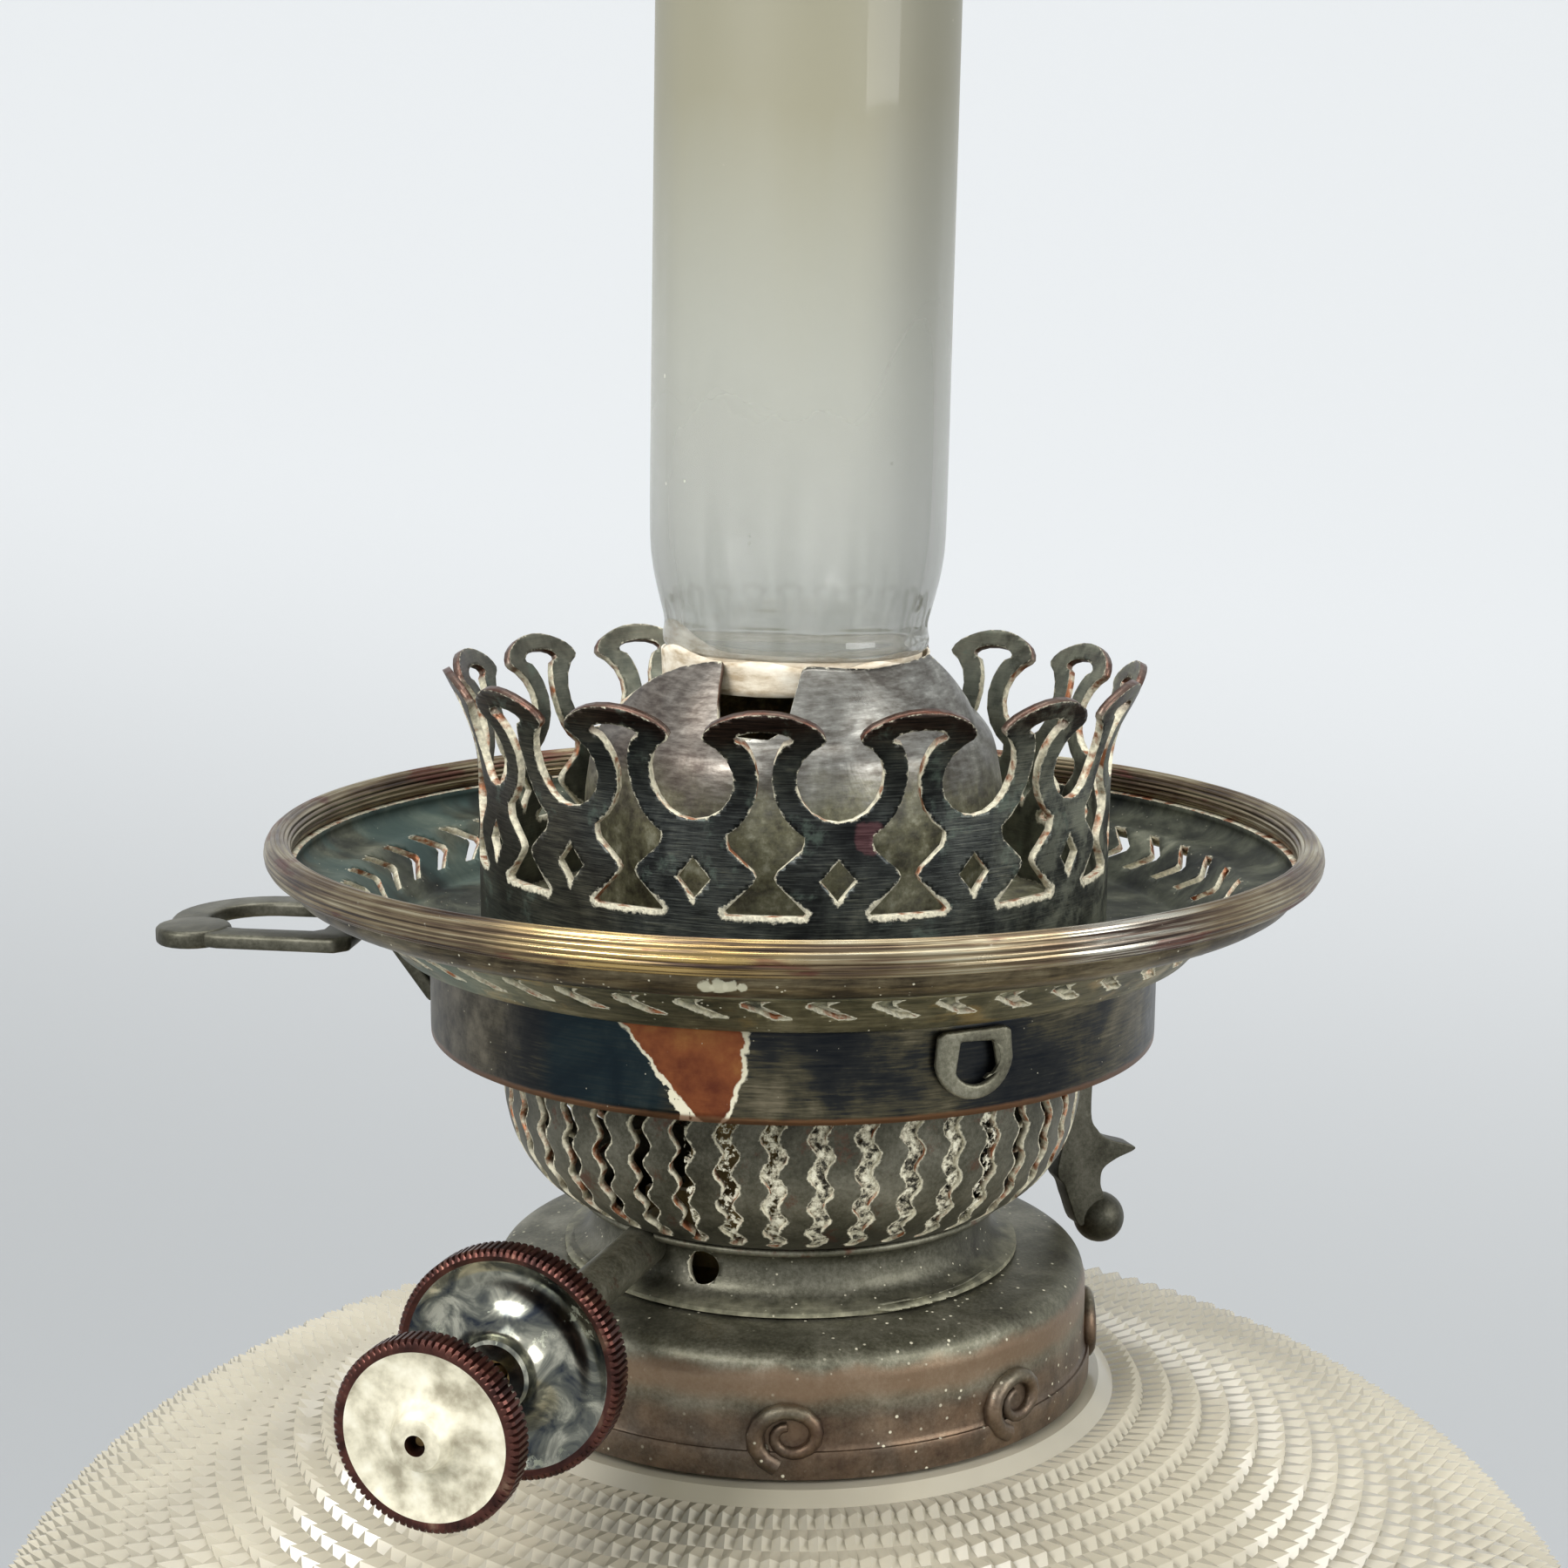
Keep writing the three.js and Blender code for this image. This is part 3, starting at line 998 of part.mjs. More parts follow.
// Two ears that stand out from the basket's wall and hold the extinguisher's pin.
function snufferEars() {
  const reach = snuffer.pivotRadius + snuffer.arm;
  const back = basket.radius + seat;
  const high = snuffer.arm;
  const gap = snuffer.width / 2 + running;
  const pinHole = circle(snuffer.pin + seat / 2, pinSides, snuffer.pivotRadius).reverse();
  const lug = outline([[back, -high], [reach, -high], [reach, high], [back, high]], [pinHole]);
  const ear = (side) => extruded(lug, snuffer.ear)
    .rotateX(Math.PI / 2)
    .translate(0, side > 0 ? gap + snuffer.ear : -gap, snuffer.pivotLevel);
  const bridge = rectangle(gap + snuffer.ear, high, high + snuffer.ear);
  const base = outward(outline(bridge), 0, back, reach, snuffer.pivotLevel);
  return joined(ear(-1), ear(1), base).rotateZ(rad(snuffer.angle));
}

const stand = new THREE.Group();
stand.add(
  piece("felt_pad", feltPad(), "felt"),
  piece("base_weight", baseWeight(), "iron"),
  piece("lower_plinth", lowerPlinthShell(), "silver"),
  piece("middle_plinth", middlePlinthBlock(), "silver"),
  piece("pedestal_block", pedestalBlock(), "silver"),
  piece("column_base", columnFoot(), "silver"),
  piece("column_shaft", flutedShaft(), "silver"),
  piece("column_capital", columnCapital(), "silver"),
  piece("abacus_plate", abacusPlate(), "silver"),
  piece("font_seat_cup", fontSeatCup(), "silver"),
  piece("tie_rod", tieRod(), "iron"),
  piece("lower_tie_nut", hexNut(lowerNutLevel), "iron"),
  piece("lower_tie_washer", flatWasher(recessTop - seat - washer.thick), "iron"),
  piece("upper_tie_nut", hexNut(upperNutLevel), "iron"),
  piece("oil_font", cutFont(), "font"),
  piece("font_collar", fontCollar(), "olive"),
);

const burner = new THREE.Group();
burner.position.z = level.skirt;
burner.add(
  piece("burner_basket", burnerBasket(), "olive"),
  piece("burner_rim", burnerRim(), "olive"),
  piece("burner_neck", burnerNeck(), "olive"),
  piece("gallery_skirt", gallerySkirt(), "dark"),
  piece("gallery_tray", galleryTray(), "brown"),
  piece("tray_rim", trayRimRing(), "brown"),
  piece("gallery_coronet", coronetRing(), "dark"),
  piece("gallery_catch", catchLug(), "dark"),
  piece("gallery_lever", galleryLever(), "olive"),
  piece("flame_dome", flameDome(), "brown"),
  piece("chimney_packing", packingRing(), "card"),
  piece("chimney_glass", chimneyGlass(), "glass"),
  piece("extinguisher_lever", snufferLever(), "olive"),
  piece("extinguisher_pin", snufferPin(), "brass"),
  piece("extinguisher_ears", snufferEars(), "olive"),
);

const spindleBore = innerSpindle.radius + running;
const wheelStart = -wickWheel.length / 2;
const winders = new THREE.Group();
winders.rotation.z = rad(winderAngle);
winders.add(
  piece("wick_deck", wickDeck(), "brass"),
  piece("wick_tube_left", wickTubeAt(-1), "brass"),
  piece("wick_tube_right", wickTubeAt(1), "brass"),
  piece("wick_left", flatWick(-1), "wick"),
  piece("wick_right", flatWick(1), "wick"),
  piece("extinguisher_sleeves", snuffingSleeves(), "brass"),
  piece("spindle_housing", spindleTube(
    housing.radius, housing.start, housing.end, outerSpindle.radius + running), "olive"),
  piece("outer_spindle", spindleTube(
    outerSpindle.radius, outerSpindle.start, outerSpindle.end, outerSpindle.bore), "brass"),
  piece("left_wick_wheel", alongX(
    spikedWheel(wheelStart, outerSpindle.radius + seat / 2), -winder.offset), "brass"),
  piece("large_knob", knurledKnob(largeKnob, outerSpindle.radius + seat), "copper"),
  piece("inner_spindle", alongX(disc(
    innerSpindle.radius, innerSpindle.start, innerSpindle.end, innerSpindle.sides), -winder.offset), "brass"),
  piece("small_knob", knurledKnob(smallKnob, innerSpindle.radius + seat), "copper"),
  piece("inner_pinion", alongX(gearWheel(gear.pinionTeeth, spindleBore), -winder.offset), "brass"),
  piece("idler_gear", alongX(gearWheel(gear.idlerTeeth, spindleBore, 0.5), 0), "brass"),
  piece("counter_pinion", alongX(gearWheel(gear.pinionTeeth, spindleBore), winder.offset), "brass"),
  piece("counter_shaft", alongX(disc(
    counterShaft.radius, counterShaft.start, counterShaft.end, innerSpindle.sides), winder.offset), "brass"),
  piece("right_wick_wheel", alongX(spikedWheel(wheelStart, spindleBore), winder.offset), "brass"),
  piece("rear_bearing_plate", bearingPlate(
    bracket.rear, [[-winder.offset, spindleBore], [winder.offset, spindleBore]], [idlerPin()]), "brass"),
  piece("front_bearing_plate", bearingPlate(
    bracket.front, [[-winder.offset, outerSpindle.radius + running], [winder.offset, spindleBore]]), "brass"),
);
burner.add(winders);

const lamp = new THREE.Group();
lamp.add(stand, burner);
export default lamp;
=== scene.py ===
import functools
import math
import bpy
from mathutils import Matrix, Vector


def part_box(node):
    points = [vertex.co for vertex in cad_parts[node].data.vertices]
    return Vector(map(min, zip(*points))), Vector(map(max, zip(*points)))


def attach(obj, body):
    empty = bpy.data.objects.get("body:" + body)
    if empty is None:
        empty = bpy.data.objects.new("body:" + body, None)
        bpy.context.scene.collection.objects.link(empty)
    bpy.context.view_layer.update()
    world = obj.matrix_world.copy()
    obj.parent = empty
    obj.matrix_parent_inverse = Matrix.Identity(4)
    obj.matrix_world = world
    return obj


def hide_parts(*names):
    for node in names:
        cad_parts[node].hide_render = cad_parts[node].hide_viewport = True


bl_info = {
    "name": "Banquet Lamp",
    "version": (1, 0, 0),
    "blender": (4, 5, 0),
    "location": "View3D > Sidebar > Lamp",
    "description": "Builds the looks of a twin-wick banquet lamp round its packed frame",
    "category": "Add Mesh",
}

import bmesh
import bpy
from mathutils import Matrix, Vector, kdtree, noise

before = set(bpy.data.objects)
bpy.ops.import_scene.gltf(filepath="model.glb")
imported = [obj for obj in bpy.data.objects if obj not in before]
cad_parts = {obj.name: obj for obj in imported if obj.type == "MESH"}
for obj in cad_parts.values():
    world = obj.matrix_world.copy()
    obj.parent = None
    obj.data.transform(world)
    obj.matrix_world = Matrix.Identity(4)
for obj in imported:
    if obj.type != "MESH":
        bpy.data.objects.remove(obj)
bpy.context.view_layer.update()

# Lengths are in millimetres and become metres in the meshes. Heights of the burner's own pieces
# are measured from the bottom edge of the gallery's skirt, as the part's are.
MM = 0.001
SKIRT_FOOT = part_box("gallery_skirt")[0].z / MM
FRONT = -90.0
WINDER_ANGLE = -108.6
WINDER_LEVEL = -19.55
WINDER_OFFSET = -9.0
EXTINGUISHER_ANGLE = 20.0


class LampSizes(bpy.types.PropertyGroup):
    """Counts and small sizes of the pieces that the photograph shows."""
    rings: bpy.props.IntProperty(name="Rings", description="Rings round the coronet", default=15)
    slots: bpy.props.IntProperty(name="Slots", description="Wavy slots round the basket", default=42)
    chevrons: bpy.props.IntProperty(name="Chevrons", description="Chevrons round the tray", default=48)
    knurls: bpy.props.IntProperty(name="Knurls", description="Notches round the large knob", default=104)
    nails: bpy.props.IntProperty(name="Nails", description="Raised points round the font", default=146)
    flutes: bpy.props.IntProperty(name="Flutes", description="Flutes round the column", default=16)
    sheet: bpy.props.FloatProperty(
        name="Sheet", description="Thickness of the pressed brass", default=0.8 * MM, unit="LENGTH")
    glass_wall: bpy.props.FloatProperty(
        name="Chimney wall", description="Thickness of the chimney's glass", default=1.5 * MM, unit="LENGTH")


def colour(name, about, value):
    return bpy.props.FloatVectorProperty(
        name=name, description=about, default=value, size=3, min=0, max=1, subtype="COLOR")


class LampColours(bpy.types.PropertyGroup):
    """Colours of the finishes."""
    plate: colour("Plate", "Bright silver plate", (0.42, 0.41, 0.36))
    copper: colour("Copper", "Bared copper", (0.30, 0.12, 0.055))
    # Also the colour of the painted highlight on the tray's rim.
    gold: colour("Gold", "Rubbed brass", (0.52, 0.36, 0.13))
    crust: colour("Crust", "Pale corrosion along cut edges", (0.62, 0.58, 0.45))
    smoke: colour("Smoke", "Film inside the chimney", (0.245, 0.23, 0.165))
    font: colour("Font", "Cut glass of the font", (0.60, 0.55, 0.44))
    backdrop: colour("Backdrop", "Floor and backdrop", (0.80, 0.825, 0.86))
    room: colour("Room", "Light that comes from all round", (0.62, 0.64, 0.57))


def sizes():
    """The lamp's counts and small sizes."""
    return bpy.context.scene.lamp_sizes


def tint(name):
    """One of the lamp's colours."""
    return tuple(getattr(bpy.context.scene.lamp_colours, name))


def scaled(shade, factor):
    """A colour made darker or lighter."""
    return tuple(min(1.0, part * factor) for part in shade)


def rgba(shade):
    """A colour as a socket wants it: four numbers, or the link that it is."""
    return shade if isinstance(shade, Value) or len(shade) == 4 else (*shade, 1.0)


# Meshes


def smooth_line(points, steps):
    """A smooth line through the points, with a number of steps between each two."""
    line = []
    ends = [points[0], *points, points[-1]]
    for before, start, end, after in zip(ends, ends[1:], ends[2:], ends[3:]):
        for step in range(steps):
            t = step / steps
            line.append(tuple(
                0.5 * (2 * q + (r - p) * t + (2 * p - 5 * q + 4 * r - s) * t**2 + (3 * q - p - 3 * r + s) * t**3)
                for p, q, r, s in zip(before, start, end, after)))
    return [*line, tuple(points[-1])]


def outward(bm):
    """Turns every face outwards."""
    bmesh.ops.recalc_face_normals(bm, faces=bm.faces)
    return bm


def arc(centre, radius, start, end, steps):
    """Points on an arc, from one angle to another in degrees."""
    turns = [math.radians(start + (end - start) * i / steps) for i in range(steps + 1)]
    return [(centre[0] + radius * math.cos(turn), centre[1] + radius * math.sin(turn)) for turn in turns]


def spin_line(bm, points, steps, closed=False):
    """Spins a line of (radius, height) points round the vertical axis."""
    verts = [bm.verts.new((radius, 0, height)) for radius, height in points]
    edges = [bm.edges.new(pair) for pair in zip(verts, verts[1:])]
    if closed:
        edges.append(bm.edges.new((verts[-1], verts[0])))
    bmesh.ops.spin(
        bm, geom=verts + edges, cent=(0, 0, 0), axis=(0, 0, 1), dvec=(0, 0, 0),
        angle=math.tau, steps=steps, use_merge=True)
    bmesh.ops.remove_doubles(bm, verts=bm.verts, dist=0.0005)


def turned(points, steps):
    """A closed shell turned from a half section. One that starts and ends on the axis is a solid."""
    bm = bmesh.new()
    on_axis = points[0][0] == 0 and points[-1][0] == 0
    spin_line(bm, points, steps, not on_axis)
    return outward(bm)


def wrapped(rows, steps, place):
    """An open grid of rows and columns round the axis. place gives the point of an angle and a row."""
    bm = bmesh.new()
    spin_line(bm, [(1, row) for row in range(rows)], steps)
    for vert in bm.verts:
        vert.co = place(math.atan2(vert.co.y, vert.co.x), round(vert.co.z))
    return outward(bm)


def blend(a, b, share):
    """A number between two others."""
    return a + (b - a) * share


def runs_along(line):
    """How far along the line each of its points lies."""
    runs = [0.0]
    for (r0, z0), (r1, z1) in zip(line, line[1:]):
        runs.append(runs[-1] + math.hypot(r1 - r0, z1 - z0))
    return runs


def point_along(line, runs, run):
    """The point that lies so far along the line."""
    k = next((i for i, far in enumerate(runs) if far >= run), len(runs) - 1)
    k = max(k, 1)
    share = (run - runs[k - 1]) / (runs[k] - runs[k - 1])
    return [a + (b - a) * share for a, b in zip(line[k - 1], line[k])]


def draw_loop(bm, points):
    """Adds a closed line in the plane of x and y."""
    verts = [bm.verts.new((x, y, 0)) for x, y in points]
    for pair in zip(verts, verts[1:] + verts[:1]):
        bm.edges.new(pair)


def pierced(outline, holes, count, first_angle, line, grid):
    """A pierced sheet: one flat cell is filled, cut into a fine grid, repeated and bent round the axis.

    line is the sheet's outer face as (radius, height) points, and a cell's points say how far across
    the cell and how far up the line they lie. first_angle is where the first cell's middle comes."""
    bm = bmesh.new()
    for points in (outline, *holes):
        draw_loop(bm, points)
    bmesh.ops.triangle_fill(bm, use_beauty=True, edges=bm.edges)
    half = max(x for x, _ in outline)
    top = max(y for _, y in outline)
    low = min(y for _, y in outline)
    across = max(1, round(2 * half / grid))
    up = max(1, round((top - low) / grid))
    cuts = [((2 * half * i / across - half, 0, 0), (1, 0, 0)) for i in range(1, across)]
    cuts += [((0, low + (top - low) * i / up, 0), (0, 1, 0)) for i in range(1, up)]
    for point, normal in cuts:
        bmesh.ops.bisect_plane(
            bm, geom=[*bm.verts, *bm.edges, *bm.faces], dist=1e-5, plane_co=point, plane_no=normal)
    cell = [*bm.verts, *bm.edges, *bm.faces]
    for i in range(1, count):
        copy = bmesh.ops.duplicate(bm, geom=cell)["geom"]
        moved = [part for part in copy if isinstance(part, bmesh.types.BMVert)]
        bmesh.ops.translate(bm, verts=moved, vec=(2 * half * i, 0, 0))
    runs = runs_along(line)
    for vert in bm.verts:
        turn = math.radians(first_angle) + vert.co.x * math.pi / (half * count)
        radius, height = point_along(line, runs, vert.co.y)
        vert.co = (radius * math.cos(turn), radius * math.sin(turn), height)
    bmesh.ops.remove_doubles(bm, verts=bm.verts, dist=0.002)
    outward(bm)
    return face_away(bm, max(bm.faces, key=lambda found: found.calc_area()))


def face_away(bm, face):
    """Reverses an open sheet if one of its faces looks towards the axis."""
    middle = face.calc_center_median()
    if face.normal.dot(Vector((middle.x, middle.y, 0))) < 0:
        bmesh.ops.reverse_faces(bm, faces=bm.faces)
    return bm


def plain_cell(half, runs):
    """Outline of a cell as wide as twice half and as tall as the line is long."""
    return [(-half, 0.0), (half, 0.0), (half, runs[-1]), (-half, runs[-1])]


def mark_edges(bm, reach=1.4):
    """Writes how near each vertex lies to an open edge, as near_edge: 1 on the edge, 0 from reach onwards."""
    rim = {vert for edge in bm.edges if edge.is_boundary for vert in edge.verts}
    tree = kdtree.KDTree(max(len(rim), 1))
    for i, vert in enumerate(rim):
        tree.insert(vert.co, i)
    tree.balance()
    layer = bm.verts.layers.float.new("near_edge")
    for vert in bm.verts:
        found = tree.find(vert.co)[2] if rim else reach
        vert[layer] = max(0.0, 1 - found / reach)


def flat_shape(points, depth, holes=()):
    """An outline in the plane of x and y with holes, thickened upwards."""
    bm = bmesh.new()
    for loop in (points, *holes):
        draw_loop(bm, loop)
    bmesh.ops.triangle_fill(bm, use_beauty=True, edges=bm.edges)
    bmesh.ops.dissolve_limit(bm, angle_limit=0.01, verts=bm.verts, edges=bm.edges)
    raised = bmesh.ops.extrude_face_region(bm, geom=bm.faces[:])["geom"]
    moved = [part for part in raised if isinstance(part, bmesh.types.BMVert)]
    bmesh.ops.translate(bm, verts=moved, vec=(0, 0, depth))
    return outward(bm)


def bevelled(bm, width, segments=2):
    """Rounds the edges that turn by more than 30 degrees."""
    least = math.radians(30)
    edges = [edge for edge in bm.edges if len(edge.link_faces) == 2 and edge.calc_face_angle() > least]
    bmesh.ops.bevel(
        bm, geom=edges, offset=width, segments=segments, profile=0.5, affect="EDGES", clamp_overlap=True,
        material=-1)
    return bm


def moved(bm, matrix):
    """Moves and turns a mesh, and hands it on."""
    bmesh.ops.transform(bm, matrix=matrix, verts=bm.verts)
    return bm


def merged(*shapes):
    """One mesh of several."""
    whole = shapes[0]
    for shape in shapes[1:]:
        mesh = bpy.data.meshes.new("part")
        shape.to_mesh(mesh)
        shape.free()
        whole.from_mesh(mesh)
        bpy.data.meshes.remove(mesh)
    return whole


def swept(path, widths, sides=10):
    """A round bar along a flat path of points, with a width at each of them."""
    bm = bmesh.new()
    rings = []
    for i, (x, y) in enumerate(path):
        before, after = path[max(i - 1, 0)], path[min(i + 1, len(path) - 1)]
        heading = math.atan2(after[1] - before[1], after[0] - before[0])
        across = (
            Matrix.Translation((x, y, 0)) @ Matrix.Rotation(heading, 4, "Z")
            @ Matrix.Rotation(math.pi / 2, 4, "Y"))
        made = bmesh.ops.create_circle(bm, cap_ends=False, segments=sides, radius=widths[i], matrix=across)
        rings.append(made["verts"])
    for first, second in zip(rings, rings[1:]):
        edges = [edge for ring in (first, second) for edge in {e for v in ring for e in v.link_edges}
                 if edge.verts[0] in ring and edge.verts[1] in ring]
        bmesh.ops.bridge_loops(bm, edges=edges)
    for ring in (rings[0], rings[-1]):
        bmesh.ops.contextual_create(bm, geom=ring)
    return outward(bm)


def along_winder(start):
    """Turns a piece made round the vertical to lie on the winders' axis, from a distance outwards."""
    return (
        Matrix.Rotation(math.radians(WINDER_ANGLE), 4, "Z")
        @ Matrix.Translation((start, WINDER_OFFSET, WINDER_LEVEL))
        @ Matrix.Rotation(math.radians(90), 4, "Y"))


def turned_out(azimuth, radius, height):
    """Stands a flat outline up, facing outwards at an azimuth: its x runs round, its y runs up."""
    basis = Matrix(((0, 0, 1, 0), (1, 0, 0, 0), (0, 1, 0, 0), (0, 0, 0, 1)))
    return Matrix.Rotation(math.radians(azimuth), 4, "Z") @ Matrix.Translation((radius, 0, height)) @ basis


def put(name, data):
    """Makes an object and puts it in the scene."""
    made = bpy.data.objects.new(name, data)
    bpy.context.scene.collection.objects.link(made)
    return made


def add_piece(name, bm, body, finishes, replaces=(), base=None, sharp=40.0):
    """Makes an object of a mesh in millimetres, with smooth faces but for its sharp edges."""
    lift = SKIRT_FOOT if base is None else base
    bmesh.ops.transform(bm, matrix=Matrix.Scale(MM, 4) @ Matrix.Translation((0, 0, lift)), verts=bm.verts)
    for face in bm.faces:
        face.smooth = True
    for edge in bm.edges:
        edge.smooth = len(edge.link_faces) != 2 or edge.calc_face_angle() < math.radians(sharp)
    mesh = bpy.data.meshes.new(name)
    bm.to_mesh(mesh)
    bm.free()
    piece = put(name, mesh)
    for finish in finishes:
        mesh.materials.append(finish)
    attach(piece, body)
    if replaces:
        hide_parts(*replaces)
    return piece


def thicken(piece, thickness, rim_slot=0, inner_slot=0):
    """Gives a sheet its thickness, inwards from its outer face."""
    modifier = piece.modifiers.new("Sheet", "SOLIDIFY")
    modifier.thickness = thickness
    modifier.offset = -1
    modifier.material_offset_rim = rim_slot
    modifier.material_offset = inner_slot
    return piece


def refined(node, width):
    """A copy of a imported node's mesh in millimetres, with its faces merged and its edges rounded."""
    bm = bmesh.new()
    bm.from_mesh(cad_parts[node].data)
    bmesh.ops.transform(bm, matrix=Matrix.Scale(1 / MM, 4), verts=bm.verts)
    bmesh.ops.remove_doubles(bm, verts=bm.verts, dist=0.001)
    bmesh.ops.dissolve_limit(
        bm, angle_limit=math.radians(1), use_dissolve_boundaries=False, verts=bm.verts, edges=bm.edges)
    return bevelled(bm, width)


# Materials


class Value:
    """A node's output that takes part in sums as a number does."""

    def __init__(self, nodes, socket):
        self.nodes = nodes
        self.socket = socket

    def maths(self, operation, *values):
        return self.nodes.node("ShaderNodeMath", {"operation": operation}, dict(enumerate(values)))

    def __add__(self, other):
        return self.maths("ADD", self, other)

    def __sub__(self, other):
        return self.maths("SUBTRACT", self, other)

    def __rsub__(self, other):
        return self.maths("SUBTRACT", other, self)

    def __mul__(self, other):
        return self.maths("MULTIPLY", self, other)

    def __truediv__(self, other):
        return self.maths("DIVIDE", self, other)

    __radd__ = __add__
    __rmul__ = __mul__


class Nodes:
    """The nodes of a material or of the world."""

    def __init__(self, owner):
        owner.use_nodes = True
        self.tree = owner.node_tree
        self.tree.nodes.clear()

    def node(self, kind, settings=None, sockets=None, out=0):
        """Adds a node: its settings first, then the values or links of its sockets."""
        made = self.tree.nodes.new(kind)
        for key, value in (settings or {}).items():
            if key == "stops":
                ramp = made.color_ramp
                while len(ramp.elements) < len(value):
                    ramp.elements.new(0.5)
                for element, (position, shade) in zip(ramp.elements, value):
                    element.position = position
                    element.color = rgba(shade)
            else:
                setattr(made, key, value)
        for key, value in (sockets or {}).items():
            if isinstance(value, Value):
                self.tree.links.new(value.socket, made.inputs[key])
            else:
                made.inputs[key].default_value = value
        return Value(self, made.outputs[out]) if made.outputs else None

    def in_view(self):
        """1 for what the camera sees straight, in metal or through glass, 0 for light that falls on the lamp."""
        seen = self.node("ShaderNodeLightPath", out="Is Camera Ray")
        for ray in ("Is Glossy Ray", "Is Transmission Ray"):
            seen = seen.maths("MAXIMUM", seen, self.node("ShaderNodeLightPath", out=ray))
        return seen


class Finish(Nodes):
    """A material that is laid on in coats, each through a mask from 0 to 1."""

    def __init__(self, name, rough=0.4, metal=1.0, base=None):
        self.material = bpy.data.materials.new(name)
        super().__init__(self.material)
        self.colour, self.rough, self.metal = base, rough, metal
        self.heights = []
        place = self.node("ShaderNodeTexCoord", out="Object")
        self.place = self.vector("SCALE", place, Scale=1 / MM)

    def vector(self, operation, *values, **named):
        return self.node("ShaderNodeVectorMath", {"operation": operation}, {**dict(enumerate(values)), **named})

    def stretched(self, x, y, z):
        return self.vector("MULTIPLY", self.place, (x, y, z))

    def noise(self, scale, detail=4.0, rough=0.55, where=None, distortion=0.0):
        return self.node(
            "ShaderNodeTexNoise", None,
            {"Vector": where or self.place, "Scale": scale, "Detail": detail, "Roughness": rough,
             "Distortion": distortion})

    def cells(self, scale):
        return self.node("ShaderNodeTexVoronoi", None, {"Vector": self.place, "Scale": scale}, "Distance")

    def step(self, value, low, high):
        """0 up to low, 1 from high, smooth between them."""
        return self.node(
            "ShaderNodeMapRange", {"interpolation_type": "SMOOTHSTEP", "clamp": True},
            {"Value": value, "From Min": low, "From Max": high})

    def band(self, value, low, from_here, to_here, high):
        """1 between two numbers, fading to 0 on either side."""
        return self.step(value, low, from_here) * self.step(value, high, to_here)

    def ramp(self, value, *stops):
        return self.node("ShaderNodeValToRGB", {"stops": stops}, {"Fac": value})

    def mix(self, mask, first, second):
        return self.node(
            "ShaderNodeMix", {"data_type": "RGBA", "clamp_factor": True},
            {0: mask, 6: rgba(first), 7: rgba(second)}, 2)

    def attribute(self, name):
        return self.node("ShaderNodeAttribute", {"attribute_name": name}, out="Fac")

    def axis(self, name):
        return self.node("ShaderNodeSeparateXYZ", None, {"Vector": self.place}, name)

    def azimuth(self):
        """The angle round the lamp, in degrees from -180 to 180."""
        return self.axis("Y").maths("ARCTAN2", self.axis("Y"), self.axis("X")) * (180 / math.pi)

    def height(self):
        """Height above the skirt's bottom edge."""
        return self.axis("Z") - SKIRT_FOOT

    def lowest(self, first, second):
        return first.maths("MINIMUM", first, second)

    def spot(self, azimuth, radius, height, reach, ragged=1.0):
        """A ragged round patch about a point on the burner."""
        turn = math.radians(azimuth)
        point = (radius * math.cos(turn), radius * math.sin(turn), SKIRT_FOOT + height)
        away = self.node("ShaderNodeVectorMath", {"operation": "DISTANCE"}, {0: self.place, 1: point}, 1)
        return self.step(away + (self.noise(0.9) - 0.5) * ragged, reach, reach * 0.75)

    def lay(self, mask, shade, rough=None, metal=None):
        """Lays a coat over what is there. Where the mask is 0, nothing changes."""
        self.colour = self.mix(mask, self.colour, shade)
        if rough is not None:
            self.rough = self.rough + mask * (rough - self.rough)
        if metal is not None:
            self.metal = self.metal + mask * (metal - self.metal)

    def raise_by(self, height):
        """Adds to the relief, in millimetres."""
        self.heights.append(height)

    def shader(self, **extra):
        sockets = {"Base Color": rgba(self.colour), "Roughness": self.rough, "Metallic": self.metal, **extra}
        if self.heights:
            height = self.heights[0]
            for more in self.heights[1:]:
                height = height + more
            sockets["Normal"] = self.node(
                "ShaderNodeBump", None, {"Strength": 1.0, "Distance": MM, "Height": height})
        return self.node("ShaderNodeBsdfPrincipled", None, sockets)

    def done(self, surface=None, **extra):
        surface = surface or self.shader(**extra)
        self.node("ShaderNodeOutputMaterial", None, {"Surface": surface})
        return self.material


def brushed(finish, lines, depth):
    """Fine marks that run round the piece."""
    marks = finish.noise(1.0, 5.0, 0.65, finish.stretched(0.28, 0.28, lines))
    finish.raise_by(marks * depth)
    return marks


def crusted(finish, reach, more=0.0):
    """Pale corrosion that creeps in from the open edges, further where there is more of it."""
    near = finish.attribute("near_edge") + more
    ragged = finish.noise(1.3, 5.0, 0.7)
    mask = finish.step(near + (ragged - 0.5) * 0.9, reach + 0.3, reach + 0.46)
    finish.lay(mask, finish.ramp(finish.noise(3.0, 3.0), (0.3, scaled(tint("crust"), 0.45)), (0.62, tint("crust"))),
               rough=0.85, metal=0.05)
    finish.raise_by(mask * 0.05)


def speckled(finish, scale=0.9, share=0.13, strength=0.8):
    """Scattered pale specks of dust and lime."""
    mask = finish.step(finish.cells(scale), share, share * 0.55) * finish.step(finish.noise(0.12), 0.42, 0.56)
    finish.lay(mask * strength, tint("crust"), rough=0.9, metal=0.0)
    finish.raise_by(mask * 0.03)


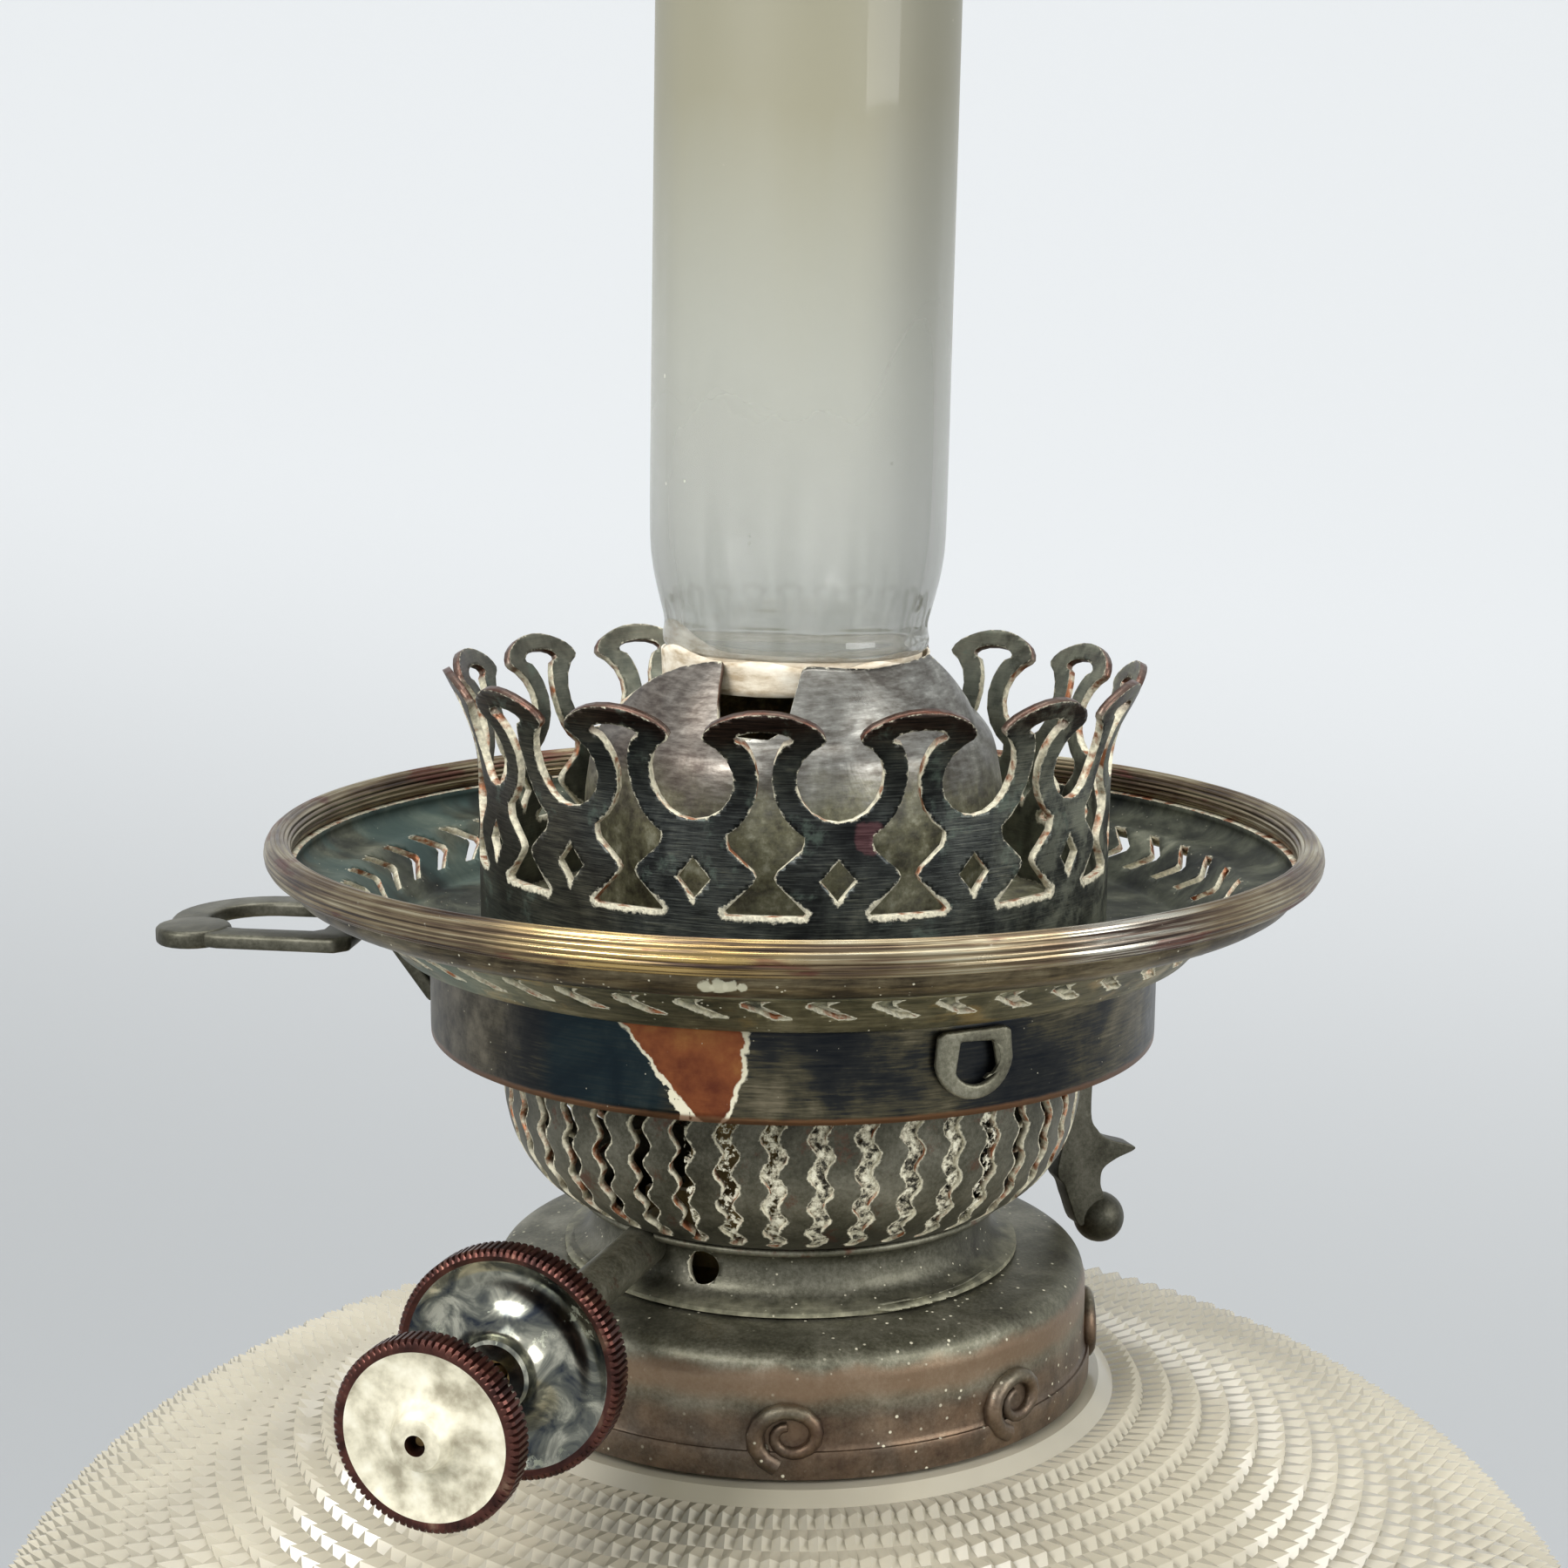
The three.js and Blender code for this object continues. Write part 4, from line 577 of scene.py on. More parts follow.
@functools.cache
def coronet_metal():
    """Dark plate with a brushed face, brown where the copper shows, pale at the cut edges."""
    finish = Finish("coronet_tarnish", metal=0.92)
    blotch = finish.noise(0.10, 5.0, 0.62, distortion=0.6)
    marks = brushed(finish, 6.0, 0.03)
    tone = blotch * 0.62 + marks * 0.44
    finish.colour = finish.ramp(
        tone, (0.38, (0.012, 0.013, 0.014)), (0.48, (0.032, 0.035, 0.034)),
        (0.56, (0.075, 0.082, 0.075)), (0.65, (0.17, 0.175, 0.14)), (0.8, scaled(tint("plate"), 0.75)))
    finish.rough = 0.26 + finish.noise(0.5) * 0.3
    height = finish.height()
    worn = finish.step(height + finish.noise(0.25) * 5, 36.2, 39.4)
    finish.lay(worn * 0.9, finish.ramp(marks, (0.35, (0.012, 0.008, 0.007)), (0.7, (0.06, 0.03, 0.02))), rough=0.34)
    brown = finish.step(finish.azimuth() + finish.noise(0.12) * 30, -100.0, -118.0)
    finish.lay(
        brown * 0.5, finish.ramp(marks, (0.38, (0.035, 0.026, 0.018)), (0.66, (0.12, 0.10, 0.065))), rough=0.42)
    back = finish.step(finish.axis("Y") + finish.noise(0.06) * 30, 8.0, 34.0)
    finish.lay(
        back * 0.6, finish.ramp(finish.noise(0.4, 5.0), (0.35, (0.09, 0.095, 0.07)), (0.7, (0.27, 0.27, 0.20))),
        rough=0.5)
    green = finish.step(finish.noise(0.16, 6.0, 0.7), 0.56, 0.66)
    finish.lay(green * 0.5, (0.10, 0.14, 0.11), rough=0.6, metal=0.4)
    side = finish.step(finish.axis("X"), 12.0, 32.0) * finish.step(finish.noise(0.3, 6.0, 0.7), 0.42, 0.6)
    finish.lay(side * 0.55, (0.22, 0.23, 0.17), rough=0.7, metal=0.3)
    finish.lay(
        finish.spot(-77.9, 33.1, 26.1, 1.8, 1.6) * 0.6,
        finish.ramp(marks, (0.4, (0.09, 0.035, 0.04)), (0.6, (0.19, 0.085, 0.09))), rough=0.6)
    finish.lay(finish.spot(-74.6, 33.1, 25.6, 0.8), (0.86, 0.85, 0.80), rough=0.9, metal=0.0)
    crusted(finish, 0.6, finish.step(height + finish.noise(0.4) * 2, 22.5, 20.0) * 0.34)
    return finish.done()


@functools.cache
def cut_edge():
    """The sheared edge of the sheet: cream lime over copper."""
    finish = Finish("cut_edge", 0.5, 0.8, tint("copper"))
    lime = finish.step(finish.noise(0.45, 5.0, 0.6), 0.36, 0.52)
    finish.lay(
        lime, finish.ramp(finish.noise(2.2), (0.3, scaled(tint("crust"), 0.55)),
            (0.65, scaled(tint("crust"), 1.15))), rough=0.9, metal=0.05)
    brown = finish.step(finish.axis("Z"), SKIRT_FOOT + 34.5, SKIRT_FOOT + 36.5)
    finish.lay(brown * 0.92, (0.075, 0.034, 0.025), rough=0.35, metal=0.9)
    finish.raise_by(finish.noise(3.0) * 0.03)
    return finish.done()


@functools.cache
def rim_metal():
    """Rubbed copper and brass along the reeds of the tray's rim, with two painted highlights near the front."""
    finish = Finish("rim_brass", metal=0.95)
    lines = finish.noise(1.0, 4.0, 0.6, finish.stretched(0.06, 0.06, 3.6))
    blotch = finish.noise(0.05, 4.0, 0.6)
    finish.colour = finish.ramp(
        lines * 0.7 + blotch * 0.36, (0.40, (0.045, 0.03, 0.024)), (0.50, (0.14, 0.10, 0.062)),
        (0.58, (0.25, 0.20, 0.12)), (0.70, (0.44, 0.40, 0.29)))
    finish.rough = 0.2 + finish.noise(0.3) * 0.25
    turn = finish.azimuth()
    # Painted highlight: a gold band on the reeds a little left of the front.
    gold = finish.band(turn, -122.0, -108.0, -98.0, -86.0) * finish.step(lines, 0.36, 0.6)
    finish.lay(gold * 0.85, tint("gold"), rough=0.16)
    # Painted highlight: a pale band on the reeds to the right of the front.
    bright = finish.band(turn, -66.0, -60.0, -54.0, -44.0) * finish.step(lines, 0.40, 0.62)
    finish.lay(bright * 0.8, (0.62, 0.60, 0.52), rough=0.18)
    rust = finish.step(finish.noise(0.12, 5.0, 0.6, finish.stretched(0.5, 0.5, 3.0)), 0.55, 0.62)
    finish.lay(rust * 0.7, (0.11, 0.035, 0.028), rough=0.4)
    specks = finish.step(finish.noise(0.8, 6.0, 0.75), 0.64, 0.72)
    finish.lay(specks * 0.6, (0.5, 0.47, 0.38), rough=0.6, metal=0.5)
    finish.raise_by(lines * 0.04)
    return finish.done()


@functools.cache
def tray_metal():
    """Olive brass outside the tray, with a little teal on the left and pale scrapes below the rim."""
    finish = Finish("tray_olive", metal=0.85)
    blotch = finish.noise(0.09, 6.0, 0.65, distortion=0.5)
    marks = brushed(finish, 3.0, 0.02)
    finish.colour = finish.ramp(
        blotch * 0.66 + marks * 0.4, (0.36, (0.022, 0.024, 0.016)), (0.47, (0.075, 0.072, 0.042)),
        (0.57, (0.16, 0.145, 0.085)), (0.72, (0.36, 0.33, 0.22)))
    finish.rough = 0.3 + finish.noise(0.4) * 0.3
    teal = finish.step(finish.noise(0.05, 3.0), 0.45, 0.55) * finish.step(finish.axis("X"), -20.0, -34.0)
    finish.lay(teal * 0.55, (0.10, 0.17, 0.15), rough=0.6, metal=0.4)
    gold = finish.step(finish.noise(0.10, 5.0, 0.6, finish.stretched(1, 1, 2)), 0.54, 0.64)
    finish.lay(gold * 0.5, scaled(tint("gold"), 0.7), rough=0.3)
    height = finish.height()
    under = finish.step(height + (finish.noise(0.3) - 0.5) * 1.2, 14.7, 15.3)
    finish.lay(
        under * 0.85, finish.ramp(blotch * 0.5 + marks * 0.5, (0.40, (0.035, 0.024, 0.014)),
            (0.52, (0.12, 0.09, 0.05)), (0.66, (0.24, 0.20, 0.12))), rough=0.34)
    for turn, reach in ((-98.4, 0.8), (-97.3, 0.9), (-96.1, 0.8), (-95.1, 0.6)):
        finish.lay(finish.spot(turn, 52.7, 16.8, reach, 1.2) * 0.85, (0.50, 0.48, 0.36), rough=0.7, metal=0.2)
    crusted(finish, 0.42)
    speckled(finish)
    return finish.done()


@functools.cache
def chevron_lime():
    """Lime and dirt in the chevrons: pale in their lower arms, olive in the upper ones."""
    finish = Finish("chevron_lime", 0.85, 0.1)
    level = finish.height() + (finish.noise(0.8) - 0.5) * 1.6
    finish.colour = finish.mix(
        finish.step(level, 12.2, 13.1),
        finish.ramp(finish.noise(1.2), (0.4, scaled(tint("crust"), 0.5)), (0.6, tint("crust"))),
        finish.ramp(finish.noise(0.9), (0.4, (0.05, 0.05, 0.03)), (0.62, (0.20, 0.19, 0.12))))
    finish.raise_by(finish.noise(1.1) * 0.3)
    return finish.done()


@functools.cache
def tray_inside():
    """Dark grey-green inside the tray, with a teal patch on the left and lime near the edges."""
    finish = Finish("tray_inside", metal=0.75)
    blotch = finish.noise(0.10, 6.0, 0.65, distortion=0.5)
    finish.colour = finish.ramp(
        blotch, (0.36, (0.010, 0.012, 0.009)), (0.48, (0.034, 0.037, 0.026)), (0.58, (0.085, 0.09, 0.062)),
        (0.72, (0.22, 0.22, 0.16)))
    finish.rough = 0.4 + finish.noise(0.4) * 0.3
    teal = finish.step(finish.noise(0.07, 3.0), 0.45, 0.55) * finish.step(finish.axis("X"), -22.0, -36.0)
    finish.lay(teal * 0.5, (0.05, 0.095, 0.085), rough=0.6, metal=0.4)
    crusted(finish, 0.62)
    speckled(finish, 0.9, 0.10, 0.6)
    return finish.done()


@functools.cache
def skirt_metal():
    """Near-black plate with a bared copper patch, a flaking pale border and a rubbed bottom edge."""
    finish = Finish("skirt_plate", metal=0.9)
    blotch = finish.noise(0.085, 5.0, 0.6, distortion=0.4)
    marks = brushed(finish, 4.0, 0.015)
    turn = finish.azimuth()
    finish.colour = finish.ramp(
        blotch * 0.7 + marks * 0.34, (0.38, (0.008, 0.010, 0.013)), (0.49, (0.022, 0.023, 0.022)),
        (0.57, (0.07, 0.062, 0.038)), (0.70, (0.20, 0.17, 0.11)))
    finish.rough = 0.22 + finish.noise(0.35) * 0.26
    left = finish.step(turn + finish.noise(0.1) * 14, -124.0, -136.0)
    finish.lay(
        left * 0.8, finish.ramp(finish.noise(0.3, 6.0, 0.7), (0.4, (0.045, 0.038, 0.026)),
            (0.68, (0.19, 0.165, 0.12))), rough=0.42)
    blue = finish.band(turn, -131.0, -126.0, -110.0, -106.0)
    finish.lay(
        blue * 0.85, finish.ramp(blotch, (0.35, (0.005, 0.011, 0.016)), (0.65, (0.013, 0.030, 0.036))), rough=0.34)
    up = finish.height() / 9.5
    ragged = (finish.noise(0.5, 5.0, 0.65) - 0.5) * 5.0
    down = 1.0 - up
    left_side = turn + ragged * 0.6 - down * 12.5 + 115.5
    right_side = -97.6 - turn - (finish.noise(0.4, 4.0, 0.6) - 0.5) * 3.0 - down * 3.0 + up * down * 7.0
    flaked = down * down * down * 2.6 * finish.step(finish.noise(0.9), 0.40, 0.52)
    finish.lay(
        finish.step(finish.lowest(left_side + flaked, right_side), -0.75, -0.4), tint("crust"), rough=0.85,
        metal=0.1)
    patch = finish.step(finish.lowest(left_side, right_side), -0.1, 0.2)
    burnt = finish.noise(0.22, 5.0, 0.6) * 0.8 + up * 0.12
    finish.lay(patch, finish.ramp(
        burnt, (0.36, (0.11, 0.026, 0.010)), (0.50, (0.21, 0.062, 0.020)), (0.66, (0.30, 0.125, 0.035))),
        rough=0.42, metal=0.75)
    bottom = finish.step(finish.axis("Z") + finish.noise(0.5) * 0.4, SKIRT_FOOT + 0.95, SKIRT_FOOT + 0.55)
    finish.lay(bottom * 0.9, (0.19, 0.095, 0.05), rough=0.35)
    speckled(finish, 0.7, 0.06)
    return finish.done()


def olive_metal(name, lift, spots, lime):
    """Satin olive-grey tarnish, with or without reddish spots."""
    finish = Finish(name, metal=0.8)
    blotch = finish.noise(0.11, 6.0, 0.65, distortion=0.4)
    grain = finish.noise(2.4, 4.0, 0.7)
    finish.colour = finish.ramp(
        blotch * 0.7 + grain * 0.32, (0.36, scaled((0.055, 0.05, 0.035), lift)),
        (0.48, scaled((0.125, 0.12, 0.085), lift)), (0.58, scaled((0.215, 0.205, 0.155), lift)),
        (0.74, scaled((0.38, 0.365, 0.29), lift)))
    finish.rough = 0.34 + grain * 0.28
    if spots:
        red = finish.step(finish.noise(0.16, 6.0, 0.75), 0.56, 0.66)
        finish.lay(red * 0.75, (0.105, 0.045, 0.028), rough=0.5)
    finish.raise_by(grain * 0.03)
    crusted(finish, lime)
    return finish


@functools.cache
def olive_finish(name="olive_tarnish", lift=1.0, spots=True, lime=0.5):
    """Olive-grey tarnish with nothing laid over it."""
    return olive_metal(name, lift, spots, lime).done()


@functools.cache
def neck_metal():
    """Olive-grey satin with lime in the hollow round the neck."""
    finish = olive_metal("neck_satin", 0.62, False, 0.62)
    hollow = finish.step(
        finish.axis("Z") + finish.noise(0.25, 5.0, 0.6) * 2.4, SKIRT_FOOT - 21.6, SKIRT_FOOT - 23.4)
    finish.lay(
        hollow * 0.85, finish.ramp(finish.noise(0.7, 5.0), (0.35, (0.17, 0.165, 0.11)), (0.65, (0.42, 0.40, 0.28))),
        rough=0.6, metal=0.4)
    speckled(finish)
    return finish.done()


@functools.cache
def collar_metal():
    """Brown-grey satin, pale specks, and copper rubbed bare along the shoulder."""
    finish = olive_metal("collar_satin", 1.05, False, 0.9)
    height = finish.axis("Z") + (finish.noise(0.2) - 0.5) * 2.0
    worn = finish.band(height, SKIRT_FOOT - 31.0, SKIRT_FOOT - 29.0, SKIRT_FOOT - 27.6, SKIRT_FOOT - 26.2)
    finish.lay(worn * 0.7, (0.24, 0.15, 0.09), rough=0.32)
    low = finish.step(height, SKIRT_FOOT - 29.5, SKIRT_FOOT - 32.5)
    finish.lay(
        low * 0.7, finish.ramp(finish.noise(0.3, 5.0), (0.4, (0.07, 0.035, 0.022)), (0.65, (0.17, 0.10, 0.06))),
        rough=0.4)
    speckled(finish, 0.75, 0.16, 0.95)
    return finish.done()


@functools.cache
def dome_metal():
    """Grey brushed brass, mossy near its foot and pale along the tears."""
    finish = Finish("dome_grey", metal=0.9)
    blotch = finish.noise(0.12, 6.0, 0.62, distortion=0.5)
    marks = finish.noise(1.0, 5.0, 0.65, finish.stretched(0.5, 0.5, 2.2))
    finish.colour = finish.ramp(
        blotch * 0.66 + marks * 0.4, (0.36, (0.045, 0.04, 0.036)), (0.47, (0.115, 0.105, 0.09)),
        (0.58, (0.23, 0.225, 0.20)), (0.72, (0.50, 0.49, 0.44)))
    finish.rough = 0.2 + finish.noise(0.4) * 0.26
    left = finish.step(finish.axis("X") + finish.noise(0.1) * 8, 1.0, -5.0)
    finish.lay(
        left * 0.7, finish.ramp(marks, (0.38, (0.075, 0.055, 0.045)), (0.66, (0.20, 0.165, 0.135))), rough=0.42)
    moss = finish.step(finish.axis("Z") + finish.noise(0.18) * 9, SKIRT_FOOT + 36.0, SKIRT_FOOT + 28.5)
    finish.lay(
        moss * 0.75, finish.ramp(finish.noise(0.5, 6.0, 0.7), (0.38, (0.055, 0.05, 0.026)),
            (0.55, (0.22, 0.21, 0.115)), (0.7, (0.50, 0.49, 0.36))), rough=0.55, metal=0.45)
    crusted(finish, 0.62)
    finish.raise_by(blotch * 0.12)
    return finish.done()


@functools.cache
def dome_inside():
    """Scorched ochre inside the dome."""
    finish = Finish("dome_ochre", 0.6, 0.3)
    finish.colour = finish.ramp(
        finish.noise(0.35, 6.0, 0.7), (0.36, (0.012, 0.010, 0.006)), (0.52, (0.10, 0.068, 0.024)),
        (0.7, (0.30, 0.24, 0.12)))
    return finish.done()


@functools.cache
def red_metal():
    """Red-brown tarnish of the knobs' rims."""
    finish = Finish("knob_rim", 0.36, 0.85)
    finish.colour = finish.ramp(
        finish.noise(0.4, 5.0), (0.35, (0.03, 0.012, 0.010)), (0.6, (0.095, 0.035, 0.026)),
        (0.75, (0.20, 0.12, 0.08)))
    return finish.done()


@functools.cache
def polished_metal():
    """Dark polish of the knobs' dished faces."""
    finish = Finish("knob_face", metal=1.0)
    blotch = finish.noise(0.22, 5.0, 0.6, distortion=1.0)
    finish.colour = finish.ramp(
        blotch, (0.38, (0.035, 0.042, 0.052)), (0.5, (0.15, 0.155, 0.13)), (0.64, (0.46, 0.45, 0.36)))
    finish.rough = 0.1 + finish.noise(0.6) * 0.18
    lime = finish.step(finish.noise(0.35, 6.0, 0.7), 0.60, 0.68)
    finish.lay(lime * 0.6, (0.40, 0.42, 0.32), rough=0.6, metal=0.5)
    return finish.done()


@functools.cache
def cream_metal():
    """Cream lime on the small knob's flat face."""
    finish = Finish("knob_cream", 0.6, 0.2)
    finish.colour = finish.ramp(
        finish.noise(0.35, 5.0), (0.35, (0.28, 0.25, 0.18)), (0.55, (0.60, 0.56, 0.44)), (0.75, (0.78, 0.75, 0.65)))
    return finish.done()


@functools.cache
def lime_crust():
    """Crumbly lime that fills some of the slots, with holes through it."""
    finish = Finish("slot_lime", 0.9, 0.0)
    pits = finish.noise(1.15, 6.0, 0.7)
    finish.colour = finish.ramp(
        pits, (0.43, (0.03, 0.027, 0.02)), (0.5, (0.40, 0.37, 0.28)), (0.6, (0.80, 0.77, 0.64)))
    finish.raise_by(pits * 0.3)
    turn = finish.azimuth()
    lane = finish.band(turn, -98.0, -88.0, -62.0, -50.0)
    whole = finish.step(pits + lane * 0.15, 0.53, 0.56)
    return finish.done(finish.shader(Alpha=whole))


@functools.cache
def brass_metal():
    """Dull yellow brass of the inner works."""
    finish = Finish("works_brass", metal=0.95)
    finish.colour = finish.ramp(
        finish.noise(0.18, 6.0, 0.65), (0.36, (0.10, 0.07, 0.03)), (0.52, (0.30, 0.21, 0.085)),
        (0.7, (0.50, 0.38, 0.17)))
    finish.rough = 0.28 + finish.noise(0.7) * 0.25
    return finish.done()


@functools.cache
def plate_metal():
    """Worn silver plate of the column and base, with brassy patches."""
    finish = Finish("stand_plate", metal=1.0)
    blotch = finish.noise(0.035, 6.0, 0.62, distortion=0.5)
    fine = finish.noise(0.5, 5.0, 0.65)
    finish.colour = finish.ramp(
        blotch * 0.62 + fine * 0.4, (0.36, (0.13, 0.125, 0.10)), (0.47, (0.25, 0.245, 0.205)),
        (0.58, scaled(tint("plate"), 0.95)), (0.76, (0.54, 0.53, 0.47)))
    finish.rough = 0.2 + fine * 0.24
    brassy = finish.step(finish.noise(0.05, 5.0, 0.7), 0.55, 0.70)
    finish.lay(brassy * 0.5, (0.34, 0.26, 0.13), rough=0.32)
    finish.raise_by(fine * 0.02)
    return finish.done()


@functools.cache
def iron_metal():
    """Dark iron with a little rust."""
    finish = Finish("dark_iron", 0.7, 0.6)
    finish.colour = finish.ramp(
        finish.noise(0.12, 6.0, 0.7), (0.4, (0.03, 0.028, 0.026)), (0.55, (0.07, 0.06, 0.05)),
        (0.68, (0.13, 0.065, 0.035)))
    finish.raise_by(finish.noise(0.8, 5.0) * 0.1)
    return finish.done()


@functools.cache
def felt_cloth():
    """Dark green felt."""
    finish = Finish("base_felt", 0.95, 0.0)
    fibre = finish.noise(2.5, 6.0, 0.8)
    finish.colour = finish.ramp(fibre, (0.35, (0.02, 0.035, 0.024)), (0.7, (0.07, 0.10, 0.07)))
    finish.raise_by(fibre * 0.3)
    return finish.done()


@functools.cache
def packing_paper():
    """Browned paper."""
    finish = Finish("packing_paper", 0.85, 0.0)
    finish.colour = finish.ramp(
        finish.noise(0.3, 5.0, 0.6, finish.stretched(1, 1, 3)), (0.35, (0.42, 0.33, 0.22)),
        (0.52, (0.70, 0.62, 0.50)), (0.7, (0.84, 0.79, 0.69)))
    finish.raise_by(finish.noise(1.5) * 0.06)
    return finish.done()


@functools.cache
def wick_cotton():
    """Woven cotton, charred at its tip."""
    finish = Finish("wick_cotton", 0.95, 0.0)
    weave = finish.node(
        "ShaderNodeTexWave", {"bands_direction": "Z"}, {"Vector": finish.place, "Scale": 1.6, "Distortion": 2.0},
        "Fac")
    finish.colour = finish.ramp(weave, (0.2, (0.34, 0.29, 0.2)), (0.8, (0.64, 0.58, 0.46)))
    char = finish.step(finish.axis("Z") + finish.noise(0.6) * 3, SKIRT_FOOT + 25.0, SKIRT_FOOT + 28.5)
    finish.lay(char, (0.018, 0.016, 0.015))
    finish.raise_by(weave * 0.15)
    return finish.done()


def chimney_glass():
    """Clear blown glass under a film of smoke that thickens upwards, and painted shade at its left and right sides.
    """
    finish = Finish("chimney_glass")
    film_at_foot, film_at_head = 0.34, 0.88
    glass = finish.node("ShaderNodeBsdfPrincipled", None, {
        "Base Color": (0.97, 0.975, 0.97, 1.0), "Roughness": 0.03, "IOR": 1.46, "Transmission Weight": 1.0})
    height = finish.height()
    streak = finish.noise(1.0, 3.0, 0.5, finish.stretched(0.10, 0.10, 0.008))
    stain = finish.noise(1.0, 4.0, 0.6, finish.stretched(0.5, 0.5, 0.02))
    low = finish.step(height + (stain - 0.5) * 10, 66.0, 40.0)
    film = finish.ramp(
        finish.step(height, 58.0, 124.0) * 0.8 + streak * 0.3, (0.2, (0.50, 0.50, 0.43)),
        (0.6, scaled(tint("smoke"), 1.25)), (0.95, scaled(tint("smoke"), 0.92)))
    film = finish.mix(low, film, finish.ramp(stain, (0.38, (0.40, 0.41, 0.36)), (0.62, (0.60, 0.61, 0.57))))
    # Painted shade: the film is darkened towards the chimney's left and right sides.
    across = finish.axis("X")
    side = finish.step(across, 5.0, 13.0) * 0.42 + finish.step(across, -11.0, -14.8) * 0.25
    soot_with_painted_shade = finish.node("ShaderNodeBsdfPrincipled", None, {
        "Base Color": finish.mix(side, film, (0.10, 0.10, 0.085)), "Roughness": 0.5})
    amount = film_at_foot + finish.step(height + (streak - 0.5) * 16, 52.0, 116.0) * (film_at_head - film_at_foot)
    specks = finish.step(finish.cells(0.16), 0.045, 0.02) * 0.5
    return finish.done(finish.node("ShaderNodeMixShader", None, {0: amount + specks, 1: glass, 2: soot_with_painted_shade}))


@functools.cache
def font_glass():
    """Pale pinkish pressed glass, cloudy, with oil-stained depth."""
    finish = Finish("font_glass", 0.22, 0.0)
    cloud = finish.noise(0.03)
    finish.colour = finish.ramp(cloud, (0.35, scaled(tint("font"), 0.82)), (0.65, scaled(tint("font"), 1.1)))
    return finish.done(**{
        "IOR": 1.5, "Transmission Weight": 0.3, "Subsurface Weight": 0.06,
        "Subsurface Radius": (1.2 * MM, 1.0 * MM, 0.8 * MM), "Coat Weight": 0.3})


# Pieces of the burner


class LampStep(bpy.types.Operator):
    """One step of the lamp's making."""
    bl_idname = "lamp.step"
    bl_label = "Step"
    bl_options = {"REGISTER", "UNDO"}


CORONET_RADIUS = 33.0
CORONET_FOOT = 10.9
CORONET_TOP = 38.3
CORONET_CURL = [
    (33.0, 10.9), (33.05, 20.0), (33.1, 27.6), (33.5, 30.6), (34.4, 33.4), (35.4, 35.6), (36.2, 37.2),
    (36.75, 38.3)]


def coronet_cell(half):
    """Outline of half a cell and of its gap, from the middle of one ring to the middle of the next."""
    ring_centre, ring_radius, hole_radius = 31.65, 6.3, 4.05
    gap_side = [
        (half - 3.25, 18.6), (half - 3.0, 18.9), (1.15, 21.7), (0.85, 22.3), (1.15, 22.9), (half - 3.5, 24.9),
        (half - 3.25, 25.6)]
    for share in (-0.86, -0.72, -0.52, -0.28, 0.0, 0.25, 0.42, 0.56):
        gap_side.append((half - math.sqrt(1 - share**2) * ring_radius, ring_centre + share * ring_radius))
    gap_side += [(2.0, 35.3), (2.45, 35.5), (2.5, 35.8), (2.1, 36.15), (1.2, 36.45), (0.0, 36.55)]
    gap = [*gap_side, *((-x, z) for x, z in reversed(gap_side[:-1]))]
    open_angle = math.degrees(math.asin(1.5 / hole_radius))
    turns = [math.radians(turn) for turn in (0, 20, 40, 60, 80, 100, 120, 140, 176 - open_angle)]
    hole = [(half - hole_radius * math.sin(turn), ring_centre - hole_radius * math.cos(turn)) for turn in turns]
    cap = [(half - 1.5, 35.7), (half - 1.75, 36.3), (half - 2.4, 36.95), (half - 3.3, 37.45), (half - 4.4, 37.9),
           (half - 5.6, 38.2), (0.0, CORONET_TOP)]
    diamond = [(half, 20.0), (half - 1.7, 22.0), (half, 24.0)]
    right = [(half, CORONET_FOOT), *diamond, *hole, *cap]
    outline = [*right, *((-x, z) for x, z in reversed(right[:-1]))]
    return outline, gap


class LAMP_OT_coronet(LampStep):
    """Pierced coronet whose rings stand on hollow diamonds and curl out at the top"""
    bl_idname = "lamp.coronet"
    bl_label = "Coronet"

    def execute(self, context):
        count = sizes().rings
        half = math.pi * CORONET_RADIUS / count
        line = smooth_line(CORONET_CURL, 4)
        runs = runs_along(line)

        def run_at(height):
            k = next((i for i, (_, z) in enumerate(line) if z >= height - 1e-6), len(line) - 1)
            k = max(k, 1)
            share = (height - line[k - 1][1]) / (line[k][1] - line[k - 1][1])
            return runs[k - 1] + share * (runs[k] - runs[k - 1])

        outline, gap = coronet_cell(half)
        flat = [[(x, run_at(z)) for x, z in loop] for loop in (outline, gap)]
        bm = pierced(flat[0], [flat[1]], count, -82.9 + 180 / count, line, 0.55)
        mark_edges(bm)
        piece = add_piece(
            "coronet", bm, "gallery",
            [coronet_metal(), cut_edge()], ["gallery_coronet"])
        thicken(piece, sizes().sheet, 1)
        return {"FINISHED"}


def lime_strip(name, line, steps, ends, body, finish):
    """A thin strip of lime behind the openings, from one azimuth to another."""
    bm = bmesh.new()
    spin_line(bm, line, steps)
    first, last = (math.radians(turn) for turn in ends)
    far = [vert for vert in bm.verts if not first < math.atan2(vert.co.y, vert.co.x) < last]
    bmesh.ops.delete(bm, geom=far, context="VERTS")
    thicken(add_piece(name, outward(bm), body, [finish]), 0.2 * MM)


